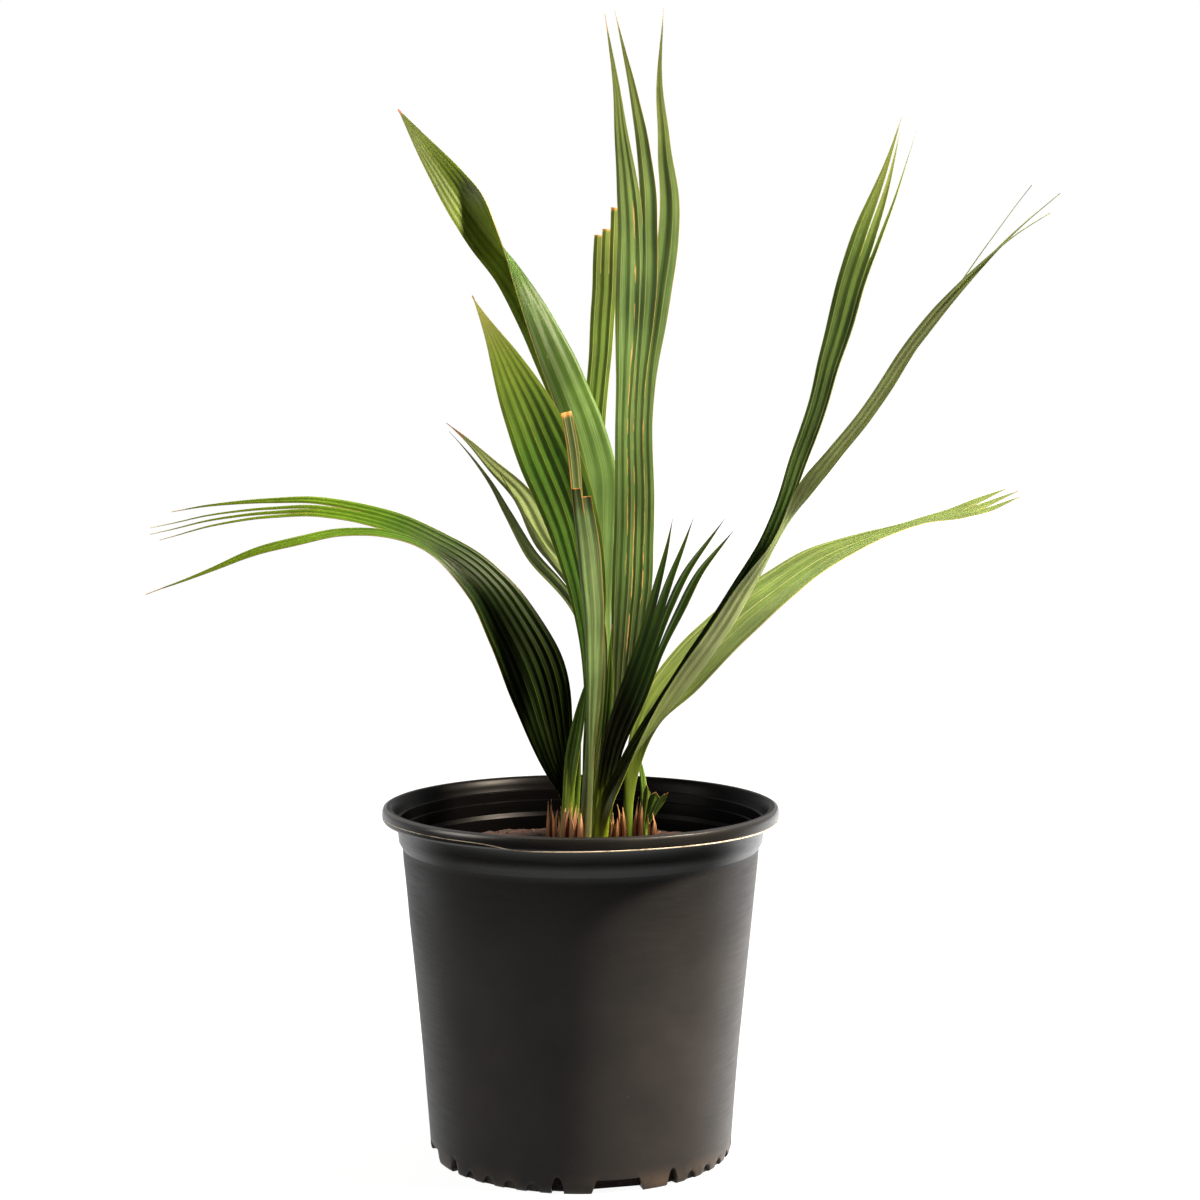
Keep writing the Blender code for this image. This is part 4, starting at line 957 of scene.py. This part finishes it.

# %% [markdown]
# The lowest frond at the left arches out over the rim. Its blade is dark green, painted near black from low
# on its stalk past its bend as a painted shade, and its long straps pale to yellow-green.

# %% Left arching frond
left_arching = dict(
    pleats=8, pleat=22, petiole=0.14, split=0.8,
    stations=[(-11, 3, 208, 7, 10, 0), (-9, 4, 249, 11, 12, 0), (-16, 3, 275, 25, 20, 10),
              (-23, 2, 301, 37, 25, 20), (-31, 0, 332, 48, 30, 25), (-48, -3, 370, 47, 42, 26),
              (-69, -7, 402, 40, 53, 20), (-89, -11, 420, 32, 64, 12), (-108, -15, 432, 28, 70, 6)],
    straps=[
        dict(share=(0.0, 0.375), fingers=[(0.0, 0.375, 0.3, 1.0, (0, 0, 0), 1)],
             path=[(-108, -20, 431, 14, 74), (-134, -26, 440, 14, 72), (-162, -33, 441, 14, 66),
                   (-191, -40, 436, 13, 55), (-224, -46, 427, 12, 45), (-254, -50, 415, 9, 45),
                   (-295, -54, 399, 6, 45)]),
        dict(share=(0.375, 1.0),
             fingers=[(0.375, 0.5, 0.5, 0.97, (0, -6, -5), 1), (0.5, 0.625, 0.5, 1.0, (0, -3, -2), 1),
                      (0.625, 0.75, 0.4, 1.0, (0, 0, 0), 1), (0.75, 1.0, 0.4, 0.97, (6, 9, 6), 1)],
             path=[(-151, -6, 452, 22, 68), (-187, 1, 457, 20, 62), (-220, 8, 456, 18, 56),
                   (-265, 16, 450, 16, 50), (-306, 24, 441, 14, 45)])])
# Painted shade: both sides run near black from a tenth of the length to past the bend, where the frond lies
# in shade.
skins = both_sides(
    "left_arching", left_arching,
    dict(cast="#d4e094", tones=[(0.0, "#566b26"), (0.07, "#1a2a0a"), (0.15, "#0a1505"), (0.4, "#0c1a05"),
                                (0.55, "#162b0a"), (0.65, "#3c5820"), (0.75, "#5c772e"), (0.9, "#5d6f26"),
                                (1.0, "#5a661f")],
         rib="#62802c", rib_strength=0.45),
    dict(cast="#d4e094", tones=[(0.0, "#566b26"), (0.12, "#16260c"), (0.4, "#1c320e"), (0.55, "#2a4416"),
                                (0.65, "#54702e"), (1.0, "#5e6c2a")], rib="#78893e", rib_strength=0.4),
    tip="#a88a52", tip_start=0.97, gloss=0.08)
leaf("left_arching_frond", left_arching, skins, ["frond_left_arching"])

# %% [markdown]
# The tallest frond at the left has folded shut along its rib, so most of what shows is its bluish-green
# underside, banded with paler stripes.

# %% Left tall frond
left_tall = dict(
    pleats=7, pleat=9, petiole=0.12, fingers=[(0.0, 1.0, 0.84, 1.0, (0, 0, 0), 1)],
    stations=[(6, 20, 208, 8, 0, 0), (13, 25, 275, 12, 0, 60), (19, 33, 333, 24, 0, 120),
              (22, 42, 390, 39, 0, 158), (25, 50, 436, 57, 0, 164), (25, 56, 482, 69, 0, 165),
              (16, 61, 517, 68, 0, 164), (6, 66, 540, 65, 0, 162), (-8, 72, 570, 61, 2, 158),
              (-24, 77, 597, 53, 6, 150), (-45, 82, 627, 41, 14, 130), (-69, 87, 655, 35, 20, 84),
              (-90, 93, 683, 31, 24, 40), (-112, 101, 714, 29, 26, 16), (-136, 110, 748, 26, 26, 6)])
# Painted light: the upper side is lighter from 0.6 to 0.78 of its length, to lift a stretch that lies in
# shade.
skins = both_sides(
    "left_tall", left_tall,
    dict(cast="#ece0a0", tones=[(0.0, "#6f8a3a"), (0.3, "#4a7030"), (0.6, "#86b056"), (0.78, "#84a64a"),
                                (0.88, "#4c662c"), (1.0, "#465a24")],
         rib="#a9b450", rib_strength=0.5, banding=0.1, gloss=0.2),
    dict(cast="#e4dcb4", tones=[(0.0, "#6f8a3a"), (0.2, "#587a48"), (0.4, "#54754e"), (0.55, "#4b6f38"),
                                (0.68, "#42662f"), (0.8, "#42622f"), (1.0, "#50692b")],
         rib="#8f9a62", rib_strength=0.4, shade=0.76, fine=0.5, banding=0.06, gloss=0.12),
    tip="#8a4a2e", tip_start=0.988)
leaf("left_tall_frond", left_tall, skins, ["frond_left_tall"])

# %% [markdown]
# Before it stands the freshest frond, a saturated green with thin yellow lines, paler to its left edge and
# tip. Behind that hangs a ragged, dull one that shows its underside.

# %% Left bright frond
left_bright = dict(
    pleats=6, pleat=12, petiole=0.18, fingers=[(0.0, 1.0, 0.68, 1.0, (0, 0, 0), 1)],
    stations=[(3, -3, 208, 8, 0, 0), (6, -1, 279, 9, 0, 10), (8, -1, 321, 11, 4, 10),
              (7, -1, 371, 20, 4, 10), (1, -1, 420, 33, 4, 10), (-13, 0, 469, 42, 4, 10),
              (-31, 2, 511, 44, 4, 10), (-51, 6, 556, 41, 4, 8), (-76, 12, 605, 22, 4, 4)])
skins = both_sides(
    "left_bright", left_bright,
    dict(cast="#f6e0d0", tones=[(0.0, "#8fb050"), (0.2, "#385a20"), (0.45, "#2f601c"), (0.7, "#3f7320"),
                                (0.88, "#6b9038"), (1.0, "#97a968")],
         rib="#aaaf45", rib_strength=0.5, fine=0.55, banding=0.08),
    dict(cast="#f0dcc8", tones=[(0.0, "#8fb050"), (0.5, "#5f8c45"), (1.0, "#a5bf78")], rib="#c5d28a"),
    sheen=0.38)
leaf("left_bright_frond", left_bright, skins, ["frond_left_bright"])

# %% Left ragged frond
left_ragged = dict(
    pleats=5, pleat=16, petiole=0.2, split=0.86,
    stations=[(-1, 8, 208, 7, 180, 0), (8, 8, 277, 9, 180, 0), (12, 7, 327, 12, 180, 10),
              (11, 7, 362, 16, 184, 12), (3, 9, 388, 22, 186, 12), (-11, 11, 412, 26, 188, 12)],
    straps=[
        dict(share=(0.0, 0.5), fingers=[(0.0, 0.5, 0.4, 1.0, (0, 0, 0), 1)],
             path=[(-25, 12, 435, 18, 188), (-41, 16, 464, 16, 186), (-62, 20, 485, 14, 184),
                   (-79, 24, 502, 11, 182), (-96, 28, 516, 9, 180)]),
        dict(share=(0.5, 1.0),
             fingers=[(0.5, 0.7, 0.0, 0.74, (3, 0, 2), 1), (0.7, 1.0, 0.0, 1.0, (0, 0, 0), 1)],
             path=[(-33, 7, 427, 17, 186), (-49, 8, 454, 15, 184), (-63, 10, 477, 12, 182),
                   (-76, 12, 494, 10, 180), (-92, 14, 511, 8, 180)])])
skins = both_sides(
    "left_ragged", left_ragged,
    dict(cast="#ece4d0", tones=[(0.0, "#7d9440"), (0.4, "#4c6d30"), (1.0, "#6f8a4a")], rib="#b0bc78"),
    dict(cast="#ece4d0", tones=[(0.0, "#7d9440"), (0.3, "#5c7a44"), (0.6, "#6d8a5c"), (1.0, "#8b9f6d")],
         rib="#c0c793", fine=0.7),
    margin="#a98a58", dry=0.8, tip="#8a6f45", tip_start=0.95)
leaf("left_ragged_frond", left_ragged, skins, ["frond_left_ragged"])

# %% [markdown]
# In front stands a frond that was cut off square. It has folded shut too; the cut and the margins have
# dried to orange-tan, and a brownish streak runs up its stem.

# %% Cut frond in front
front_cut = dict(
    pleats=4, pleat=16, petiole=0.2,
    fingers=[(0.0, 0.25, 0.78, 0.815, (0, 0, 0), 0), (0.25, 0.5, 0.78, 0.835, (0, 0, 0), 0),
             (0.5, 1.0, 0.78, 1.0, (0, 0, 0), 0)],
    stations=[(2, -18, 208, 8, 180, 0), (4, -19, 243, 8, 184, 20), (5, -21, 288, 10, 192, 90),
              (5, -23, 323, 19, 200, 128), (4, -25, 351, 25, 205, 138), (2, -27, 393, 31, 205, 142),
              (-2, -29, 431, 33, 205, 142), (-5, -31, 463, 27, 198, 146), (-8, -33, 494, 22, 188, 150),
              (-13, -36, 522, 20, 185, 150)])
skins = both_sides(
    "front_cut", front_cut,
    dict(cast="#d8d2bc", tones=[(0.0, "#7f8a52"), (0.2, "#5b6f3a"), (0.6, "#47602e"), (1.0, "#3a4a22")],
         rib="#a9b072"),
    dict(cast="#e8e2d0", tones=[(0.0, "#756b4a"), (0.12, "#64734d"), (0.4, "#789b66"),
                                (0.7, "#5e7c52"), (0.85, "#42593a"), (1.0, "#3c4c2c")],
         rib="#b9b785", rib_strength=0.6, fine=0.8, shade=0.66),
    margin="#b5813f", dry=0.9, tip="#b07f45", tip_start=0.985, flecks=0.3, fleck="#a87a4a")
leaf("cut_frond_in_front", front_cut, skins, ["frond_front_cut"])

# %% [markdown]
# The tallest of all stands in the middle and ends in three narrow straps. Between its pairs of long pale
# lines are dark slits. Behind it is an old frond, cut off high up and yellowing from its edges.

# %% Middle tall frond
middle_tall = dict(
    pleats=6, pleat=14, petiole=0.16, split=0.86,
    stations=[(15, 11, 208, 8, 0, 0), (20, 12, 262, 11, 2, 0), (28, 15, 312, 16, 4, 4),
              (33, 18, 355, 24, 6, 6), (36, 21, 397, 29, 8, 6), (38, 24, 461, 29, 8, 6),
              (38, 27, 532, 28, 8, 6), (41, 29, 573, 35, 6, 6)],
    straps=[
        dict(share=(0.0, 0.5), fingers=[(0.0, 0.5, 0.5, 1.0, (0, 0, 0), 1)],
             path=[(35, 30, 603, 21, 4), (35, 34, 660, 18, 2), (29, 39, 718, 13, 0), (24, 44, 764, 9, 0),
                   (17, 49, 806, 7, 0)]),
        dict(share=(0.5, 0.75), fingers=[(0.5, 0.75, 0.5, 1.0, (0, 0, 0), 1)],
             path=[(48, 31, 613, 12, 4), (46, 38, 696, 12, 2), (37, 44, 753, 10, 0), (24, 51, 809, 7, 0)]),
        dict(share=(0.75, 1.0), fingers=[(0.75, 1.0, 0.5, 1.0, (0, 0, 0), 1)],
             path=[(57, 33, 609, 15, 4), (63, 38, 661, 15, 2), (59, 45, 718, 11, 0), (56, 51, 761, 8, 0),
                   (59, 57, 812, 6, 0)])])
# Painted shade: the upper side is darker from 0.12 to 0.24 of its length, where fronds in front shade it.
skins = both_sides(
    "middle_tall", middle_tall,
    dict(cast="#d2c0b8", tones=[(0.0, "#7f9440"), (0.12, "#304719"), (0.24, "#2c4518"), (0.36, "#4c7a38"),
                                (0.45, "#66994f"), (0.7, "#669752"), (0.85, "#70984f"), (1.0, "#7c9450")],
         rib="#b4be7c", rib_strength=0.5, fine=0.6, shade=0.7, banding=0.08),
    dict(cast="#d2c0b8", tones=[(0.0, "#7f9440"), (0.4, "#668a55"), (1.0, "#8ea76b")], rib="#c4c98c"),
    tip="#a58a55", tip_start=0.975, splits=[(0.5, 0.25, 0.62), (0.75, 0.3, 0.62), (0.333, 0.35, 0.8)])
leaf("middle_tall_frond", middle_tall, skins, ["frond_middle_tall"])

# %% Cut frond at the back
back_cut = dict(
    pleats=3, pleat=16, petiole=0.14,
    fingers=[(0.0, 0.34, 0.9, 0.955, (0, 0, 0), 0), (0.34, 0.67, 0.9, 0.965, (0, 0, 0), 0),
             (0.67, 1.0, 0.9, 1.0, (0, 0, 0), 0)],
    stations=[(15, 23, 208, 7, 0, 0), (15, 34, 289, 9, 0, 0), (14, 47, 361, 13, 0, 0),
              (10, 60, 432, 16, 0, 0), (9, 69, 504, 17, 0, 0), (12, 74, 547, 17, 0, 0),
              (15, 78, 583, 18, 0, 0), (17, 82, 626, 18, 0, 0), (19, 87, 674, 18, 0, 0)])
skins = both_sides(
    "back_cut", back_cut,
    dict(cast="#aeaea0", rib="#c3cf76", rib_strength=0.6,
         tones=[(0.0, "#7f9440"), (0.4, "#567438"), (0.6, "#668a32"), (0.8, "#759939"), (1.0, "#87a246")]),
    dict(cast="#aeaea0", tones=[(0.0, "#7f9440"), (0.6, "#7f9a55"), (1.0, "#9eb26b")], rib="#c8cf8e"),
    margin="#c2b463", dry=0.9, tip="#b08a4e", tip_start=0.992)
leaf("cut_frond_at_the_back", back_cut, skins, ["frond_back_cut"])

# %% [markdown]
# To the right, a short fan stands low, painted near black where its blade leaves the stalk as a painted
# shade; a tall frond leans out and splits into a broad upright strap and a fan of narrow ones, and a pale,
# translucent one arches far out.

# %% Right fan
right_fan = dict(
    pleats=4, petiole=0.25, split=0.9,
    stations=[(14, -3, 208, 9, 0, 0), (16, -3, 251, 12, 0, 10), (23, -4, 287, 17, -6, 20),
              (36, -11, 323, 24, -12, 26), (49, -18, 358, 25, -16, 26), (53, -21, 369, 25, -18, 26)],
    straps=[
        dict(share=(0.0, 0.5), fingers=[(0.0, 0.25, 0.3, 0.97, (-6, 0, 0), 1),
                                        (0.25, 0.5, 0.3, 1.0, (3, 0, 0), 1)],
             path=[(54, -25, 393, 14, -16), (62, -29, 418, 13, -14), (73, -36, 452, 11, -10)]),
        dict(share=(0.5, 0.75), fingers=[(0.5, 0.75, 0.4, 1.0, (0, 0, 0), 1)],
             path=[(61, -27, 388, 7, -16), (73, -32, 414, 7, -14), (99, -42, 450, 6, -10)]),
        dict(share=(0.75, 1.0), fingers=[(0.75, 1.0, 0.4, 1.0, (0, 0, 0), 1)],
             path=[(68, -28, 386, 8, -16), (82, -34, 414, 8, -14), (105, -43, 442, 7, -10)])])
# Painted shade: the upper side runs near black from 0.27 to 0.42 of its length, low in the crown where shade
# falls.
skins = both_sides(
    "right_fan", right_fan,
    dict(cast="#d0d060", tones=[(0.0, "#98ae24"), (0.18, "#7c941a"), (0.27, "#182806"), (0.42, "#101e04"),
                                (0.6, "#3a7018"), (0.85, "#5c872a"), (1.0, "#8aa654")],
         rib="#9db048", rib_strength=0.5),
    dict(cast="#d4c884", tones=[(0.0, "#9db03c"), (0.4, "#38561c"), (0.7, "#527a38"), (1.0, "#8aa45c")],
         rib="#b0be6c"),
    margin="#8a7440", dry=0.7, tip="#7a5230", tip_start=0.965)
leaf("right_fan", right_fan, skins, ["frond_right_fan"])

# %% Right tall frond
right_tall = dict(
    pleats=6, pleat=18, petiole=0.14, split=0.9,
    stations=[(10, -13, 208, 9, 0, 0), (17, -13, 246, 11, 0, 40), (33, -12, 276, 14, 0, 90),
              (61, -12, 313, 24, 0, 150), (93, -15, 355, 33, 0, 155), (118, -22, 397, 31, 0, 150),
              (139, -30, 441, 21, 10, 110), (144, -33, 452, 20, 12, 90)],
    straps=[
        dict(share=(0.0, 0.5),
             fingers=[(0.0, 0.25, 0.68, 1.0, (0, 0, 0), 1), (0.25, 0.417, 0.68, 0.97, (-3, 2, 0), 1),
                      (0.417, 0.5, 0.6, 0.97, (6, 4, 2), 1)],
             path=[(150, -32, 490, 13, 8), (163, -31, 528, 14, 4), (171, -30, 559, 16, 2),
                   (179, -29, 586, 19, 0), (186, -28, 613, 20, 0), (195, -26, 640, 21, 0),
                   (205, -23, 668, 19, 0), (214, -20, 694, 15, 0), (223, -17, 724, 11, 0)]),
        dict(share=(0.5, 1.0),
             fingers=[(0.5, 0.583, 0.42, 0.97, (-12, 6, 14), 1), (0.583, 0.833, 0.55, 1.0, (0, 0, 0), 1),
                      (0.833, 1.0, 0.55, 0.98, (0, -6, -12), 1)],
             path=[(158, -42, 476, 12, -50), (169, -46, 490, 11, -66), (190, -54, 517, 10, -72),
                   (217, -66, 558, 11, -74), (236, -74, 585, 12, -74), (258, -82, 612, 12, -74),
                   (284, -93, 640, 12, -74), (312, -104, 665, 10, -74)])])
skins = both_sides(
    "right_tall", right_tall,
    dict(cast="#d2c4b0", tones=[(0.0, "#86a028"), (0.12, "#4a661e"), (0.2, "#3b5f22"), (0.45, "#3e6a28"),
                                (0.65, "#3c6029"), (0.85, "#5a8034"), (1.0, "#93ab5c")],
         rib="#b0c273", rib_strength=0.55),
    dict(cast="#d8d0c0", tones=[(0.0, "#7f9a28"), (0.1, "#587220"), (0.2, "#86a45c"), (0.33, "#cbeab4"),
                                (0.5, "#bcdea0"), (0.62, "#d0ec9c"), (0.85, "#d2ec9c"), (1.0, "#d8eca4")],
         rib="#d0d6b0", rib_strength=0.6, flecks=0.2, fleck="#8d7a52"),
    margin="#acb45c", dry=0.6, tip="#a8935a", tip_start=0.98)
leaf("right_tall_frond", right_tall, skins, ["frond_right_tall"])

# %% Right arching frond
right_arching = dict(
    pleats=6, pleat=16, petiole=0.16,
    fingers=[(0.0, 0.333, 0.9, 0.985, (0, 0, 1), 1), (0.333, 0.667, 0.9, 1.0, (0, 0, 0), 1),
             (0.667, 1.0, 0.9, 0.995, (0, 0, -1), 1)],
    stations=[(35, 2, 208, 7, 0, 0), (34, 2, 249, 7, 0, 0), (38, 5, 278, 12, -6, 10),
              (51, 10, 311, 24, -20, 20), (74, 16, 336, 42, -34, 24), (102, 22, 362, 53, -46, 26),
              (136, 30, 390, 59, -54, 26), (171, 40, 414, 52, -60, 24), (209, 51, 431, 36, -68, 20),
              (247, 63, 443, 26, -76, 14), (278, 73, 450, 24, -66, 10), (297, 79, 456, 25, -60, 6),
              (323, 86, 466, 20, -60, 4)])
skins = both_sides(
    "right_arching", right_arching,
    dict(cast="#aebaa6", tones=[(0.0, "#8aa02c"), (0.15, "#94a838"), (0.4, "#90a35e"), (0.55, "#89a059"),
                                (0.7, "#748942"), (1.0, "#7e8b50")],
         rib="#c6cc84", rib_strength=0.55, fine=0.7, banding=0.1),
    dict(cast="#b4c0a8", tones=[(0.0, "#7d9a35"), (0.2, "#a3b955"), (0.6, "#a9bb6a"), (1.0, "#b9c483")],
         rib="#dbe0a5"),
    margin="#c9bd70", sheen=0.45)
leaf("right_arching_frond", right_arching, skins, ["frond_right_arching"])

# %% [markdown]
# Five small leaves stand round the crown: three spears that have not opened yet, and two stubs of one that
# was torn. They are bright green and yellow-green at the foot.

# %% Small leaves
WHOLE = [(0.0, 1.0, 0.55, 1.0, (0, 0, 0), 1)]
SMALL = dict(
    small_left=dict(pleats=3, petiole=0.45, fingers=WHOLE, row_step=2.5,
                    stations=[(-12, -12, 208, 7, 0, 0), (-9, -12, 251, 8, 0, 10), (-6, -12, 280, 10, 0, 30),
                              (-1, -13, 308, 12, 0, 30), (6, -13, 343, 9, 0, 20)]),
    small_front=dict(pleats=2, petiole=0.5, fingers=WHOLE, row_step=2.5,
                     stations=[(-4, -10, 208, 6, 0, 0), (-4, -9, 251, 7, 0, 10), (-2, -9, 280, 7, 0, 20),
                               (1, -10, 308, 6, 0, 10)]),
    spear=dict(pleats=2, petiole=0.4, fingers=WHOLE, row_step=2.5,
               stations=[(8, 4, 208, 6, 0, 0), (15, 4, 256, 6, 0, 0), (18, 3, 295, 7, 0, 20),
                         (20, 2, 327, 8, 0, 30), (22, 0, 374, 7, 0, 10)]),
    torn_stub=dict(pleats=2, petiole=0.6, fingers=WHOLE, row_step=2.0,
                   stations=[(46, 0, 208, 6, 0, 0), (45, 0, 238, 6, 0, 0), (45, 2, 253, 5, 0, 0),
                             (43, 6, 271, 5, 0, 0), (39, 10, 288, 4, 0, 0)]),
    torn_fan=dict(pleats=3, petiole=0.4, row_step=1.5,
                  fingers=[(0.0, 0.334, 0.87, 0.98, (-1, 0, 2), 1),
                           (0.334, 0.667, 0.88, 0.95, (0, 0, 0), 1),
                           (0.667, 1.0, 0.85, 1.0, (1, 0, -1), 1)],
                  stations=[(49, -4, 208, 4, 0, 0), (46, -5, 231, 4, 0, 0), (49, -6, 243, 12, 0, 10),
                            (54, -8, 259, 22, 0, 10)]))
skins = both_sides(
    "small_leaf", SMALL["spear"],
    dict(cast="#c4c4a0", tones=[(0.0, "#a3a455"), (0.25, "#93ad45"), (0.6, "#5f9230"), (1.0, "#7ba245")],
         rib="#b9cc6a"),
    dict(cast="#c4c4a0", tones=[(0.0, "#a3a455"), (0.3, "#8aa54c"), (1.0, "#7f9f55")], rib="#bccb80"),
    tip="#8f6b3c", tip_start=0.96)
for name, design in SMALL.items():
    leaf(name + "_leaf", design, skins, ["leaf_" + name])

# %% [markdown]
# Old leaf bases have dried to brown, papery scraps that stand round the crown. Each is a short sheet that
# bows outwards and has frayed into uneven tongues.

# %% Sheath scraps
SHEATH_SEAT = 3.0
SHEATHS = [((-19, -7), (-20, -9), 9, 254), ((-9, -18), (-7, -20), 12, 255), ((-4, -24), (-1, -26), 10, 249),
           ((20, -8), (24, -10), 8, 245), ((28, -5), (28, -8), 7, 248), ((38, -3), (40, -5), 8, 254),
           ((48, -10), (49, -13), 8, 243), ((26, 7), (27, 8), 8, 240), ((-10, 11), (-13, 13), 9, 243)]
FRAYS = 4


def frayed(foot, top, width, height):
    base = SOIL_TOP - SHEATH_SEAT
    bow = [(foot[k] * 0.4 + top[k] * 0.6) * 1.04 for k in (0, 1)]
    tongues = [(k / FRAYS, (k + 1) / FRAYS, rng.uniform(0.45, 0.75), rng.uniform(0.78, 1.0),
                (rng.uniform(-2, 2), rng.uniform(-1.5, 1.5), 0), round(rng.random() ** 0.5, 1))
               for k in range(FRAYS)]
    return dict(pleats=FRAYS // 2, petiole=0.0, fingers=tongues, row_step=1.5,
                stations=[(*foot, base, width, 0, 0), (*bow, (base + height) / 2, width, 0, 30),
                          (*top, height, width * 0.8, 0, 20)])


brown = dict(rib="#e0bc96", margin="#a87a5c", tip="#d0a680", tip_start=0.96, flecks=0.5, fleck="#6b402a",
             sheen=0.6, banding=0.4)
skins = both_sides(
    "dry_sheath", frayed(*SHEATHS[1]),
    dict(tones=[(0.0, "#341a12"), (0.35, "#6e4432"), (0.6, "#ac7a56"), (1.0, "#d2a680")], **brown),
    dict(tones=[(0.0, "#341a12"), (0.35, "#684030"), (0.7, "#a67a5a"), (1.0, "#c89e78")], **brown))
for number, scrap in enumerate(SHEATHS, 1):
    leaf(f"sheath_{number}", frayed(*scrap), skins, [f"sheath_scrap_{number}"])
